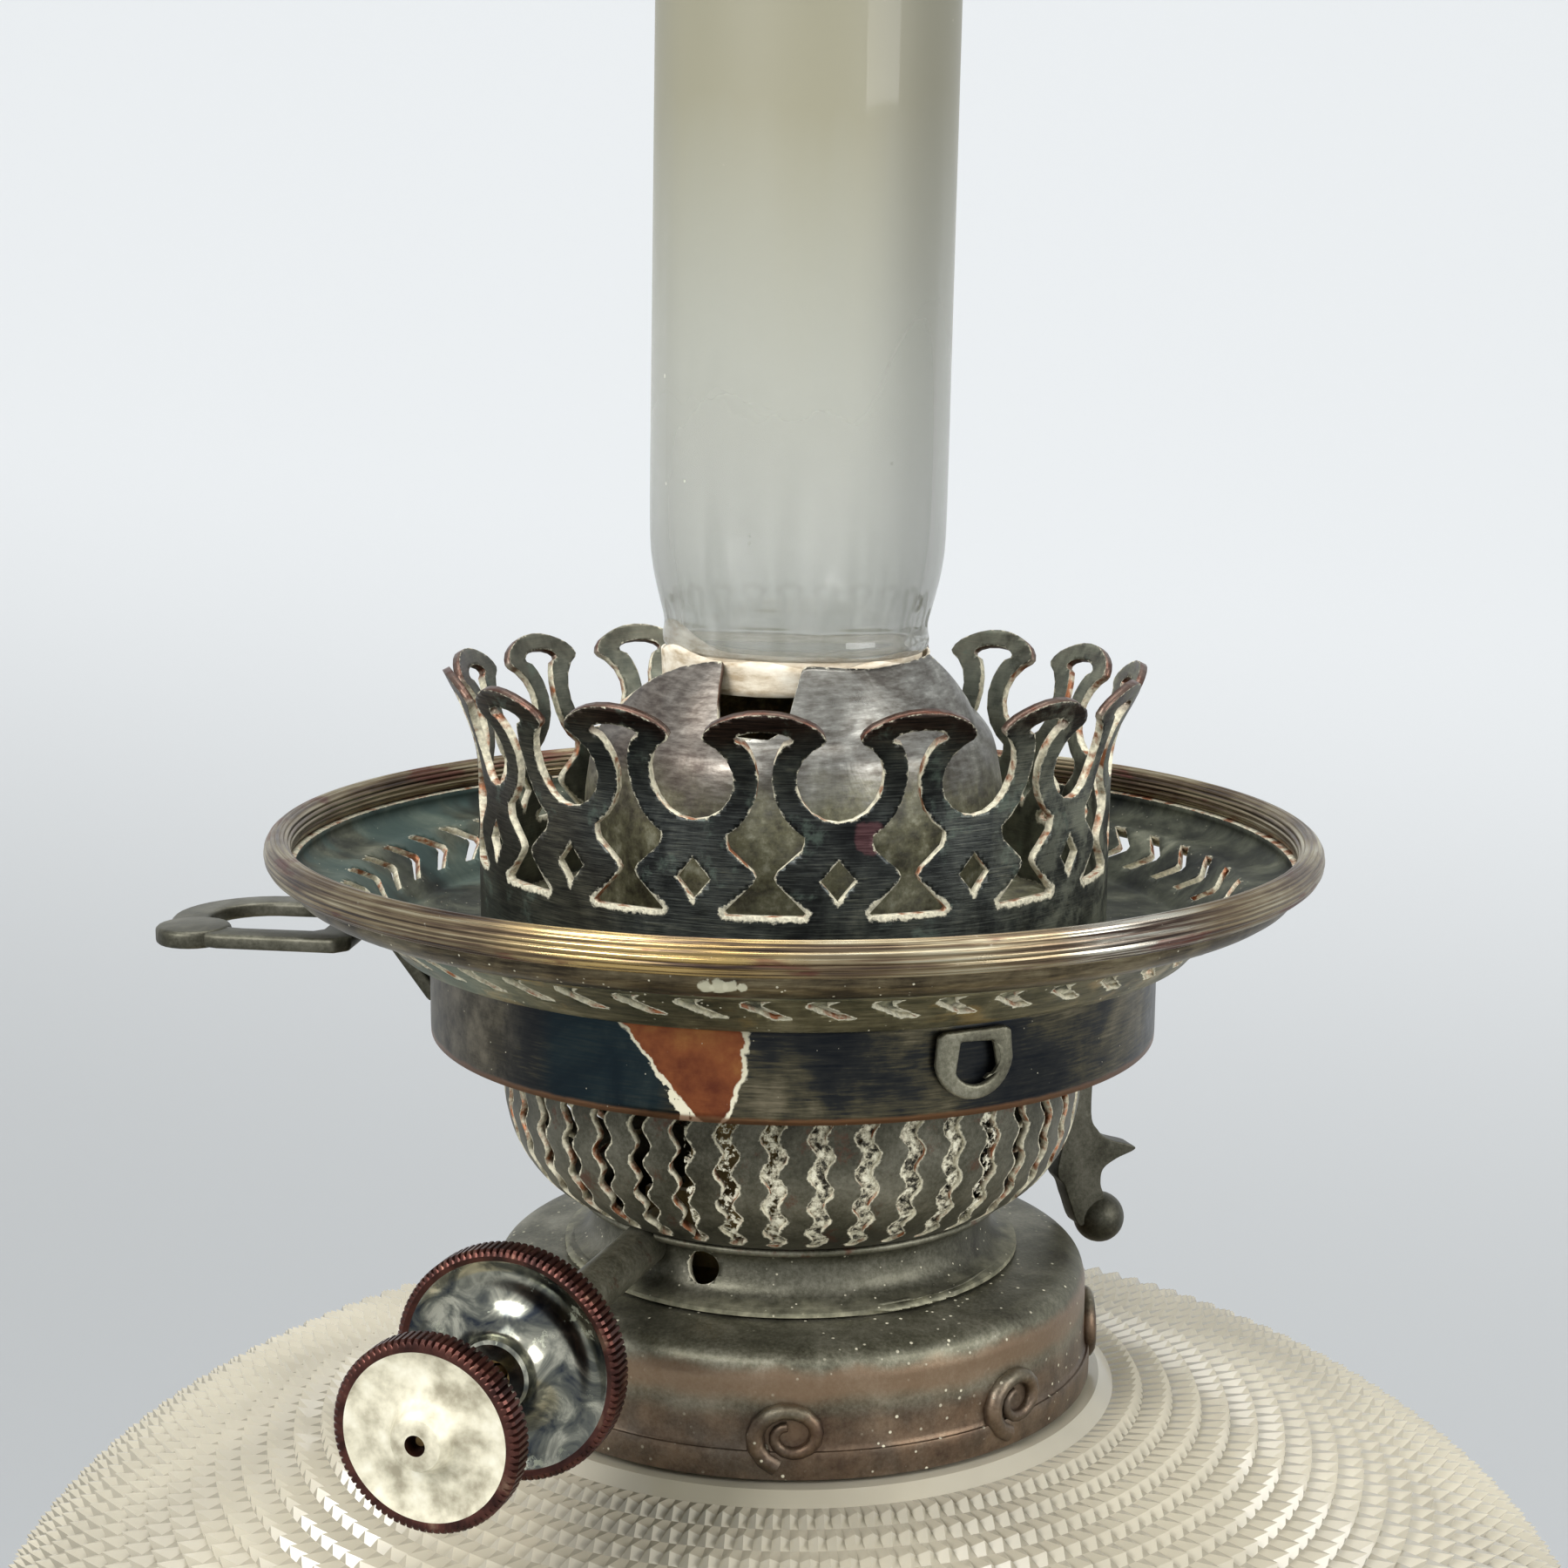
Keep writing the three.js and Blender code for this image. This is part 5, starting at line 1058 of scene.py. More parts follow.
class LAMP_OT_tray(LampStep):
    """Shade tray with its pierced wall, and the reeded rim"""
    bl_idname = "lamp.tray"
    bl_label = "Tray and rim"

    def execute(self, context):
        count = sizes().chevrons
        line = smooth_line([
            (27.0, 9.8), (34.0, 9.8), (41.4, 9.8), (42.6, 10.5), (47.0, 14.6), (48.5, 14.95), (50.6, 15.35),
            (52.2, 16.2), (52.9, 17.4), (52.8, 18.4)], 3)
        runs = runs_along(line)
        half = math.pi * 45.0 / count
        middle = next(run for run, (radius, _) in zip(runs, line) if radius > 44.8)
        wide, high, stroke = 1.6, 2.45, 0.95
        chevron = [
            (wide - stroke, -high), (wide + stroke * 0.7, -high), (stroke - wide + 0.15, -0.25),
            (stroke - wide + 0.15, 0.25), (wide + stroke * 0.7, high), (wide - stroke, high),
            (-wide - stroke * 0.7, 0.3), (-wide - stroke * 0.7, -0.3)]
        hole = [(x - 0.2, middle + y) for x, y in chevron]
        bm = pierced(plain_cell(half, runs), [hole], count, -92.9, line, 0.8)
        mark_edges(bm, 1.0)
        piece = add_piece(
            "tray", bm, "gallery",
            [tray_metal(), cut_edge(), tray_inside()],
            ["gallery_tray"])
        thicken(piece, sizes().sheet, 1, 2)
        add_piece(
            "tray_bead", turned(arc((47.75, 14.75), 0.42, 0, 330, 11), 200), "gallery",
            [tray_metal()])
        inner = [(radius - 0.45, height + 0.25) for radius, height in line if 42.0 < radius < 47.5]
        lime_strip("chevron_lime", inner, 200, (-142, -38), "gallery", chevron_lime())
        centre, bead, reeds = (53.7, 19.7), 1.42, 16
        section = []
        for i in range(reeds * 8):
            turn = math.tau * i / (reeds * 8)
            reach = bead - 0.13 * (0.5 - 0.5 * math.cos(reeds * turn)) ** 2
            section.append((centre[0] + reach * math.cos(turn), centre[1] + reach * 1.22 * math.sin(turn)))
        add_piece("reeded_rim", turned(section, 240), "gallery", [rim_metal()], ["tray_rim"])
        return {"FINISHED"}


SKIRT_RADIUS = 38.38
STUD_ANGLES = (-150, -30, 90)


class LAMP_OT_skirt(LampStep):
    """Skirt of the gallery with its rolled edge, studs and notch"""
    bl_idname = "lamp.skirt"
    bl_label = "Skirt and catch"

    def execute(self, context):
        line = [(38.35, 0.0), (38.5, 0.25), (38.5, 0.7), (38.38, 1.0), (38.38, 8.9), (38.45, 9.3), (38.45, 9.5)]
        runs = runs_along(line)
        half = math.pi * SKIRT_RADIUS
        notch_top = 3.1
        across = [math.radians(turn) * SKIRT_RADIUS for turn in (-146.0, -91.0)]
        outline = [(-half, 0.0), (across[0], 0.0), (across[0], notch_top), (across[1], notch_top), (across[1], 0.0),
                   (half, 0.0), (half, runs[-1]), (-half, runs[-1])]
        bm = pierced(outline, [], 1, FRONT, line, 1.1)
        mark_edges(bm, 0.8)
        piece = add_piece("skirt", bm, "gallery", [skirt_metal(), cut_edge()], ["gallery_skirt"])
        thicken(piece, sizes().sheet, 1)
        studs = [
            moved(
                turned([(0, 0), (0.8, 0), (0.8, 3.2), (0.6, 3.4), (0, 3.4)], 24),
                Matrix.Rotation(math.radians(turn), 4, "Z") @ Matrix.Translation((37.7, 0, 3.7))
                @ Matrix.Rotation(-math.pi / 2, 4, "Y"))
            for turn in STUD_ANGLES]
        add_piece("gallery_studs", merged(*studs), "gallery", [brass_metal()])
        return {"FINISHED"}


class LAMP_OT_catch(LampStep):
    """Half-round catch pressed out of the skirt, with its spring tongue"""
    bl_idname = "lamp.catch"
    bl_label = "Catch"

    def execute(self, context):
        lug = flat_shape(
            [*arc((0, 0.4), 4.2, -172, -8, 16), (3.9, 2.6), (3.2, 3.0), (-3.2, 3.0), (-3.9, 2.6)], 0.75,
            [[*arc((0.2, 0.2), 2.6, -150, -30, 10), (1.9, 1.7), (-1.6, 1.9)]])
        bevelled(lug, 0.3, 3)
        for vert in lug.verts:
            vert.co.z -= vert.co.x**2 / (2 * 39.5)
        tongue = flat_shape([*arc((1.3, 0.6), 1.5, -100, 80, 10), *arc((0.2, 0.7), 2.0, 60, -80, 8)], 0.5)
        bevelled(tongue, 0.12)
        moved(tongue, Matrix.Translation((0.4, -0.6, 0.2)))
        bm = moved(merged(lug, tongue), turned_out(-64.3, 38.75, 5.6))
        mark_edges(bm)
        add_piece(
            "skirt_catch", bm, "gallery",
            [olive_finish("catch_lime", 1.15, False, 0.8)], ["gallery_catch"])
        return {"FINISHED"}


BOWL_RADIUS = 30.8
BOWL = [
    (22.6, -17.8), (23.9, -17.3), (25.6, -16.3), (27.2, -15.0), (28.7, -13.1), (29.8, -11.0), (30.5, -8.5),
    (30.8, -6.0), (30.8, 0.0)]


class LAMP_OT_basket(LampStep):
    """Bowl of the basket with its wavy slots, the lime in some of them and the rim above"""
    bl_idname = "lamp.basket"
    bl_label = "Basket"

    def execute(self, context):
        count = sizes().slots
        line = smooth_line(BOWL, 4)
        runs = runs_along(line)
        half = math.pi * BOWL_RADIUS / count
        top, foot, wide, wave, period = runs[-1] - 1.0, 3.4, 0.82, 0.5, 3.7
        steps = 30
        levels = [foot + (top - foot) * i / steps for i in range(steps + 1)]
        spine = [(wave * math.sin(math.tau * level / period), level) for level in levels]
        right = [(x + wide, y) for x, y in spine]
        left = [(x - wide, y) for x, y in spine]
        slot = [*right, *arc((spine[-1][0], spine[-1][1]), wide, 30, 150, 4), *reversed(left),
                *arc((spine[0][0], spine[0][1]), wide, 210, 330, 4)]
        bm = pierced(plain_cell(half, runs), [slot], count, -93.4, line, 0.7)
        mark_edges(bm, 1.1)
        piece = add_piece(
            "basket_bowl", bm, "burner",
            [olive_finish("basket_olive", 0.62, True, 0.5), cut_edge()],
            ["burner_basket"])
        thicken(piece, sizes().sheet, 1)
        inner = [(radius - 0.42, height) for radius, height in line]
        lime_strip("slot_lime", inner, 160, (-112, -44), "burner", lime_crust())
        wall = BOWL_RADIUS - 0.8
        rim = turned([
            (wall, 0.1), (32.7, 0.1), (33.0, 0.25), (33.0, 0.6), (32.8, 0.75), (30.85, 0.75), (30.8, 1.0),
            (30.8, 9.3), (30.6, 9.5), (wall + 0.2, 9.5), (wall, 9.3)], 128)
        add_piece("basket_rim", rim, "burner", [olive_finish()], ["burner_rim"])
        return {"FINISHED"}


class LAMP_OT_neck(LampStep):
    """Neck under the basket with its vent, and the sleeve that enters the collar"""
    bl_idname = "lamp.neck"
    bl_label = "Neck"

    def execute(self, context):
        outside = smooth_line([
            (20.6, -30.9), (20.6, -25.0), (20.8, -24.45), (24.3, -24.35), (24.6, -24.1), (24.2, -23.8),
            (22.6, -23.3), (21.6, -22.3), (21.2, -20.5), (21.3, -19.4), (21.9, -18.6), (22.4, -18.35),
            (22.5, -18.1)], 4)
        runs = runs_along(outside)
        neck_radius, vent_radius = 21.2, 1.75
        half = math.pi * neck_radius
        hole_at = next(run for run, (_, z) in zip(runs, outside) if z > -21.0)
        across = math.radians(-114.8 + 90) * neck_radius
        vent = arc((across, hole_at), vent_radius, 0, 360, 28)[:-1]
        bm = pierced(plain_cell(half, runs), [vent], 1, FRONT, outside, 0.8)
        mark_edges(bm, 1.2)
        piece = add_piece("neck", bm, "burner", [neck_metal(), cut_edge()], ["burner_neck"])
        thicken(piece, sizes().sheet, 1)
        bead = turned(arc((22.75, -18.15), 0.42, 0, 330, 12), 128)
        add_piece("neck_bead", bead, "burner", [olive_finish()])
        return {"FINISHED"}


class LAMP_OT_collar(LampStep):
    """Cast collar on the font, with its ring of scrolls"""
    bl_idname = "lamp.collar"
    bl_label = "Font collar"

    def execute(self, context):
        outside = smooth_line([
            (32.5, -37.8), (32.5, -35.2), (32.0, -34.4), (31.9, -29.0), (31.8, -27.4), (31.2, -25.9), (29.6, -25.1),
            (26.2, -24.75), (24.6, -24.65), (21.2, -24.65)], 5)
        inside = [(21.0, -24.9), (21.0, -31.4), (25.0, -31.4), (25.0, -37.8)]
        body = turned([*outside, *inside], 128)
        scrolls = []
        for i in range(8):
            comma = []
            for k in range(22):
                turn = math.radians(250 - 24 * k)
                reach = 3.3 * (1 - k / 30)
                comma.append((reach * 1.18 * math.cos(turn), 3.3 + reach * math.sin(turn)))
            thick = [1.0 * (1 - k / 40) for k in range(22)]
            scrolls.append(moved(swept(comma, thick), turned_out(i * 45.0, 32.15, -36.7)))
        bm = merged(body, *scrolls)
        mark_edges(bm)
        add_piece("collar", bm, "stand", [collar_metal()], ["font_collar"])
        return {"FINISHED"}


class LAMP_OT_works(LampStep):
    """Finishes for the works inside the burner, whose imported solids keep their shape"""
    bl_idname = "lamp.works"
    bl_label = "Inner works"

    def execute(self, context):
        brass = brass_metal()
        cotton = wick_cotton()
        iron = iron_metal()
        olive = olive_finish()
        kept = {
            "wick_deck": brass, "wick_tube_left": brass, "wick_tube_right": brass, "extinguisher_sleeves": brass,
            "left_wick_wheel": brass, "right_wick_wheel": brass, "inner_pinion": brass, "idler_gear": brass,
            "counter_pinion": brass, "counter_shaft": brass, "rear_bearing_plate": brass,
            "front_bearing_plate": brass, "extinguisher_pin": brass, "wick_left": cotton, "wick_right": cotton,
            "extinguisher_ears": olive, "base_weight": iron, "tie_rod": iron, "lower_tie_nut": iron,
            "lower_tie_washer": iron, "upper_tie_nut": iron}
        for node, finish in kept.items():
            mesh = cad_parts[node].data
            mesh.materials.clear()
            mesh.materials.append(finish)
        return {"FINISHED"}


def knob_piece(name, section, count, start, body, finishes, node, face_reach):
    """A knob with a knurled rim and another finish on its face, which reaches so far from its axis.

    section is a half section of (radius, distance outwards) points."""
    radius = max(reach for reach, _ in section)
    steps = count * 4
    bm = bmesh.new()
    spin_line(bm, section, steps, True)
    outward(bm)
    for vert in bm.verts:
        reach = math.hypot(vert.co.x, vert.co.y)
        column = round(math.atan2(vert.co.y, vert.co.x) / math.tau * steps) % 4
        if reach > radius - 0.5 and column == 0:
            vert.co.x *= (reach - 0.32) / reach
            vert.co.y *= (reach - 0.32) / reach
    for face in bm.faces:
        middle = face.calc_center_median()
        reach = math.hypot(middle.x, middle.y)
        if reach < face_reach and middle.z > 1.5 and face.normal.z > 0.05:
            face.material_index = 1
    moved(bm, along_winder(start))
    add_piece(name, bm, body, finishes, [node], sharp=32.0)


class LAMP_OT_knobs(LampStep):
    """The two knurled knobs, the housing and the spindles that run one in the other"""
    bl_idname = "lamp.knobs"
    bl_label = "Knobs and spindles"

    def execute(self, context):
        red = red_metal()
        polished = polished_metal()
        cream = cream_metal()
        large = [
            (1.65, 0.9), *smooth_line([(9.4, 0.3), (10.3, 0.0), (10.8, 0.2)], 3),
            (11.0, 0.45), (11.0, 2.55), (10.8, 2.85), (10.4, 3.0),
            *smooth_line([(9.9, 2.8), (8.6, 2.05), (6.8, 1.9), (5.0, 2.7), (3.7, 4.1), (3.4, 5.3)], 4),
            (3.1, 5.6), (1.65, 5.6)]
        knob_piece(
            "large_winder_knob", large, sizes().knurls, 51.6, "large_winder", [red, polished], "large_knob", 10.1)
        small = [
            (0.95, 0.84), *smooth_line([(7.3, 0.3), (8.0, 0.0), (8.5, 0.2)], 3),
            (8.7, 0.45), (8.7, 2.35), (8.5, 2.65), (8.1, 2.8),
            *smooth_line([(7.6, 2.7), (6.6, 2.35), (4.6, 2.3), (3.2, 2.7), (2.7, 3.6)], 4),
            (2.3, 4.3), (1.9, 4.4), (0.95, 4.4)]
        knob_piece(
            "small_winder_knob", small, int(sizes().knurls * 0.8), 68.3, "small_winder", [red, cream],
            "small_knob", 7.8)
        olive = olive_finish()
        brass = brass_metal()
        housing = turned([
            (1.65, 0), (2.3, 0), (2.3, 31.0), (2.9, 31.4), (3.1, 32.2), (2.9, 33.0), (2.3, 33.4), (1.65, 33.4)], 40)
        add_piece(
            "winder_housing", moved(housing, along_winder(14.8)), "burner", [olive],
            ["spindle_housing"])
        outer = turned([(0.95, 0), (1.35, 0), (1.35, 61.0), (0.95, 61.0)], 32)
        add_piece(
            "outer_winder_tube", moved(outer, along_winder(-5)), "large_winder", [brass],
            ["outer_spindle"])
        inner = turned([(0, 0), (0.65, 0), (0.65, 87.6), (0.45, 88.0), (0, 88.0)], 24)
        add_piece(
            "inner_winder_rod", moved(inner, along_winder(-16.4)), "small_winder", [brass],
            ["inner_spindle"])
        return {"FINISHED"}


class LAMP_OT_lever(LampStep):
    """Raising lever: the ring with its ramps, the stem and the looped handle"""
    bl_idname = "lamp.lever"
    bl_label = "Raising lever"

    def execute(self, context):
        high, rise, sweep = 7.6, 6.0, 40
        shapes = [turned([(31.4, 1.0), (37.1, 1.0), (37.1, 2.6), (31.4, 2.6)], 144)]
        for stud in STUD_ANGLES:
            ramp = bmesh.new()
            section = [(33.4, 1.8), (36.8, 1.8), (36.8, 2.6), (33.4, 2.6)]
            verts = [ramp.verts.new((r, 0, z)) for r, z in section]
            face = ramp.faces.new(verts)
            bmesh.ops.spin(
                ramp, geom=[*verts, *face.edges, face], cent=(0, 0, 0), axis=(0, 0, 1), dvec=(0, 0, 0),
                angle=math.radians(sweep), steps=24)
            for vert in ramp.verts:
                turn = math.degrees(math.atan2(vert.co.y, vert.co.x))
                if vert.co.z > 2.5:
                    vert.co.z += rise * turn / sweep
            outward(ramp)
            shapes.append(moved(ramp, Matrix.Rotation(math.radians(stud + 2), 4, "Z")))
        outer = [(46, -8.6), (47.4, -10), *arc((58, 0), 10, -88, 76, 18), (47.4, 10), (46, 8.6)]
        hole = [(50, -5.2), (50.8, -6), *arc((58, 0), 6, -86, 86, 14), (50.8, 6), (50, 5.2)]
        ring = bevelled(flat_shape(outer, 1.6, [hole]), 0.45, 3)
        disc = bevelled(flat_shape(arc((64, 6), 4.0, 0, 345, 24), 1.9), 0.5, 3)
        moved(ring, Matrix.Translation((0, 0, high)))
        moved(disc, Matrix.Translation((0, 0, high - 0.15)))
        side = [
            (34.0, 1.0), (39.2, 1.0), (44.0, high), (48.0, high), (48.0, high + 1.6), (43.2, high + 1.6),
            (38.4, 2.6), (34.0, 2.6)]
        stem = bevelled(flat_shape(side, 6.0), 0.4, 2)
        moved(stem, Matrix.Translation((0, 3.0, 0)) @ Matrix.Rotation(math.pi / 2, 4, "X"))
        handle = moved(merged(stem, ring, disc), Matrix.Rotation(math.radians(173), 4, "Z"))
        whole = merged(*shapes, handle)
        mark_edges(whole)
        add_piece("raising_lever_loop", whole, "raising_lever",
                  [olive_finish("lever_olive", 0.5, False, 0.9)], ["gallery_lever"])
        return {"FINISHED"}


class LAMP_OT_extinguisher(LampStep):
    """Extinguisher lever with its horned outer arm and ball"""
    bl_idname = "lamp.extinguisher"
    bl_label = "Extinguisher lever"

    def execute(self, context):
        pivot, level = 34.5, -5.0
        horn = [
            (-0.6, -0.02), (0.2, -0.02), (0.35, 0.06), (0.28, 0.4), (0.6, 0.5), (1.15, 0.56), (2.4, 0.62),
            (1.5, 0.67), (0.9, 0.72), (0.81, 0.8), (0.95, 0.9), (-0.05, 1.02), (-0.6, 0.88), (-0.85, 0.79),
            (-1.2, 0.71), (-0.9, 0.5), (-0.7, 0.3)]
        outline = smooth_line([(pivot + 2.7 * x, level - 21.4 * down) for x, down in horn], 5)
        plate = bevelled(flat_shape(outline, 2.8), 0.95, 4)
        shapes = [moved(plate, Matrix.Translation((0, 0, -1.4)))]
        ball = bmesh.new()
        bmesh.ops.create_uvsphere(
            ball, u_segments=32, v_segments=20, radius=2.87, matrix=Matrix.Translation((37.2, -26.4, 0)))
        shapes.append(ball)
        bar = [(10.4, -5.9), (35.4, -5.9), *arc((pivot, level), 1.8, -60, 120, 12), (33.0, -4.1), (10.4, -4.1)]
        arm = bevelled(flat_shape(bar, 2.0), 0.2)
        shapes.append(moved(arm, Matrix.Translation((0, 0, -1.0))))
        upright = Matrix.Rotation(math.radians(EXTINGUISHER_ANGLE), 4, "Z") @ Matrix.Rotation(math.pi / 2, 4, "X")
        bm = moved(merged(*shapes), upright)
        mark_edges(bm)
        add_piece("extinguisher_arm", bm, "snuffer_lever",
                  [olive_finish("extinguisher_olive", 0.45, False, 0.9)], ["extinguisher_lever"])
        return {"FINISHED"}


# Torn top of the dome: (azimuth, share of the height that is left, share it stands up)
TEARS = [
    (-180, 0.1, 0.2), (-168, 0.12, 0.6), (-160, 0.36, 1), (-150, 0.62, 1), (-138, 0.84, 1), (-126, 0.97, 1),
    (-119.5, 1.0, 1), (-117.5, 0.5, 1), (-114, 0.06, 1), (-98, 0.03, 1), (-93, 0.14, 1), (-90, 0.6, 1),
    (-87.5, 0.95, 1), (-84, 0.97, 1), (-72, 0.93, 1), (-60, 0.9, 1), (-46, 0.93, 1), (-34, 0.97, 1), (-24, 1.0, 1),
    (-18, 0.72, 1), (-8, 0.25, 1), (-4, 0.2, 0), (8, 0.9, 0), (150, 0.95, 0), (168, 0.6, 0), (180, 0.1, 0.2)]


def torn_at(azimuth):
    """How much of the dome is left at an azimuth, and how far it stands up."""
    for (a, left, bent), (b, next_left, next_bent) in zip(TEARS, TEARS[1:]):
        if a <= azimuth <= b:
            share = (azimuth - a) / (b - a)
            return left + (next_left - left) * share, bent + (next_bent - bent) * share
    return TEARS[-1][1:]


class LAMP_OT_dome(LampStep):
    """Flame dome with its torn top, and the paper packed under the chimney"""
    bl_idname = "lamp.dome"
    bl_label = "Dome and packing"

    def execute(self, context):
        fixed = smooth_line([
            (31.2, 11.6), (24.0, 11.6), (21.9, 11.9), (21.5, 13.2), (21.7, 18.0), (22.0, 24.0), (21.6, 28.2),
            (20.8, 31.0), (19.3, 32.9)], 4)
        tips = 14

        def place(turn, row):
            if row < len(fixed):
                radius, height = fixed[row]
            else:
                azimuth = math.degrees(turn)
                left, bent = torn_at(azimuth)
                share = (row - len(fixed) + 1) / tips * max(left, 0.02)
                start = fixed[-1]
                tab, lip = (14.9, 40.1), (12.3, 37.2)
                end = (blend(lip[0], tab[0], bent), blend(lip[1], tab[1], bent))
                knee = (blend(start[0], end[0], 0.55), blend(start[1], end[1], blend(0.85, 0.62, bent)))
                one = (blend(start[0], knee[0], share), blend(start[1], knee[1], share))
                two = (blend(knee[0], end[0], share), blend(knee[1], end[1], share))
                radius, height = blend(one[0], two[0], share), blend(one[1], two[1], share)
            dent = noise.noise(Vector((math.cos(turn) * 3, math.sin(turn) * 3, height * 0.12)))
            radius += dent * 0.35 if row > 8 else 0
            return Vector((radius * math.cos(turn), radius * math.sin(turn), height))

        def how_far_out(face):
            middle = face.calc_center_median()
            return middle.to_2d().length if 18 < middle.z < 26 else 0

        bm = wrapped(len(fixed) + tips, 360, place)
        bmesh.ops.remove_doubles(bm, verts=bm.verts, dist=0.004)
        outward(bm)
        face_away(bm, max(bm.faces, key=how_far_out))
        mark_edges(bm, 1.6)
        piece = add_piece(
            "flame_dome_shell", bm, "gallery",
            [dome_metal(), cut_edge(), dome_inside()],
            ["flame_dome"], sharp=60.0)
        thicken(piece, 0.7 * MM, 1, 2)
        layers = []
        for k, (radius, top, low) in enumerate([(13.9, 39.6, 36.6), (13.2, 40.6, 37.2), (12.5, 39.9, 37.4)]):

            def fold(turn, row, radius=radius, top=top, low=low, k=k):
                wave = noise.noise(Vector((math.cos(turn) * 2 + k, math.sin(turn) * 2, k * 3.1)))
                rise = 3.0 * math.exp(-((math.degrees(turn) + 150 + 8 * k) / 22) ** 2)
                height = blend(low, top + wave * 0.8 + (rise if k else rise * 0.4), row / 5)
                reach = radius + wave * 0.4 + 0.15 * row / 5
                return Vector((reach * math.cos(turn), reach * math.sin(turn), height))

            layers.append(wrapped(6, 120, fold))
        paper = merged(*layers)
        piece = add_piece(
            "paper_packing", paper, "gallery", [packing_paper()], ["chimney_packing"])
        thicken(piece, 0.3 * MM)
        return {"FINISHED"}


class LAMP_OT_chimney(LampStep):
    """Blown glass chimney with its rounded shoulder, leaning a little"""
    bl_idname = "lamp.chimney"
    bl_label = "Chimney"

    def execute(self, context):
        bore = 15.38 - sizes().glass_wall / MM
        outside = smooth_line([
            (13.3, 0.0), (13.7, 0.35), (13.9, 1.2), (13.75, 2.2), (13.8, 3.2), (14.35, 5.4), (15.0, 8.4),
            (15.32, 12.0), (15.38, 20.0)], 5)
        outside += [(15.38, 60), (15.38, 120), (15.38, 180), (15.38, 198.6), (15.2, 199.5), (14.7, 199.9)]
        inside = [(14.2, 199.7), (13.9, 198.8), (bore, 20.0), *reversed(smooth_line([
            (12.1, 0.2), (12.2, 1.4), (12.25, 2.6), (12.5, 4.6), (13.2, 7.6), (13.75, 12.0), (bore, 19.0)], 4))]
        bm = turned([*outside, *inside], 128)
        moved(bm, Matrix.Translation((0, 0, 40.0)) @ Matrix.Rotation(math.radians(0.7), 4, "Y"))
        add_piece("chimney", bm, "chimney",
                  [chimney_glass()], ["chimney_glass"])
        return {"FINISHED"}


class LAMP_OT_font(LampStep):
    """Font of pressed glass covered with raised points"""
    bl_idname = "lamp.font"
    bl_label = "Font"

    def execute(self, context):
        equator = -70.3
        radius, rise, drop, nail = 86.4, 33.7, 43.0, 2.1
        count = sizes().nails
        lifts = [-66 + 1.2 * i for i in range(111)]
        bottom = [(0.0, equator - 42.0), (12.0, equator - 42.2), (23.6, equator - 42.28)]
        mouth = [(33.6, -38.3), (24.5, -38.35), (24.5, -33.4), (17.6, -33.35), (17.6, -41.0), (30.0, -42.5)]

        def place(turn, row):
            k = row - len(bottom)
            if k < 0:
                reach, height = bottom[row]
            elif k < len(lifts):
                lift = math.radians(lifts[k])
                column = round(turn / math.tau * 2 * count)
                up = rise if lift > 0 else drop
                out = nail if k % 2 and (column + k // 2) % 2 and k < len(lifts) - 1 else 0.0
                reach = (radius + out) * math.cos(lift)
                height = equator + (up + out * 0.5) * math.sin(lift)
            else:
                reach, height = mouth[k - len(lifts)]
            return Vector((reach * math.cos(turn), reach * math.sin(turn), height))

        bm = wrapped(len(bottom) + len(lifts) + len(mouth), 2 * count, place)
        bmesh.ops.remove_doubles(bm, verts=bm.verts, dist=0.002)
        outward(bm)
        hollow = smooth_line([
            mouth[-1], (60.0, -48.0), (80.0, -60.0), (83.0, -72.0), (70.0, -95.0), (45.0, -106.0),
            (0.0, -109.0)], 5)
        cavity = bmesh.new()
        spin_line(cavity, hollow, 96)
        outward(cavity)
        bmesh.ops.reverse_faces(cavity, faces=cavity.faces)
        add_piece("cut_font", merged(bm, cavity), "stand", [font_glass()], ["oil_font"], sharp=16.0)
        return {"FINISHED"}


# Pieces of the stand, below the photograph's view


def acanthus(width, height, curl):
    """A leaf that stands against the bell and curls out at its tip, with lobes and a midrib."""
    bm = bmesh.new()
    columns, rows = 16, 22
    bmesh.ops.create_grid(bm, x_segments=columns, y_segments=rows, size=0.5)
    for vert in bm.verts:
        across, up = vert.co.x * 2, vert.co.y + 0.5
        lobes = 1 + 0.16 * math.sin(up * math.tau * 3.2) * min(1, up * 5)
        swell = 0.40 + 0.16 * math.sin(math.pi * min(1, up * 1.05))
        half = width * swell * lobes * (1 - max(0, up - 0.72) ** 1.3 * 3.2)
        ribs = 0.35 * math.cos(across * math.pi * 3) * (0.3 + up)
        rise = up - max(0, up - 0.8) ** 2 * 2.2
        out = curl * up**3 + ribs - abs(across) ** 1.6 * 0.9 + 0.6
        vert.co = Vector((out, across * half, rise * height))
    bmesh.ops.solidify(bm, geom=bm.faces[:], thickness=1.3)
    return outward(bm)


# Radius of the rod's hole through base, column and cup.
BORE = 4.4


def span(node):
    """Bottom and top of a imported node, in millimetres."""
    low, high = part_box(node)
    return low.z / MM, high.z / MM


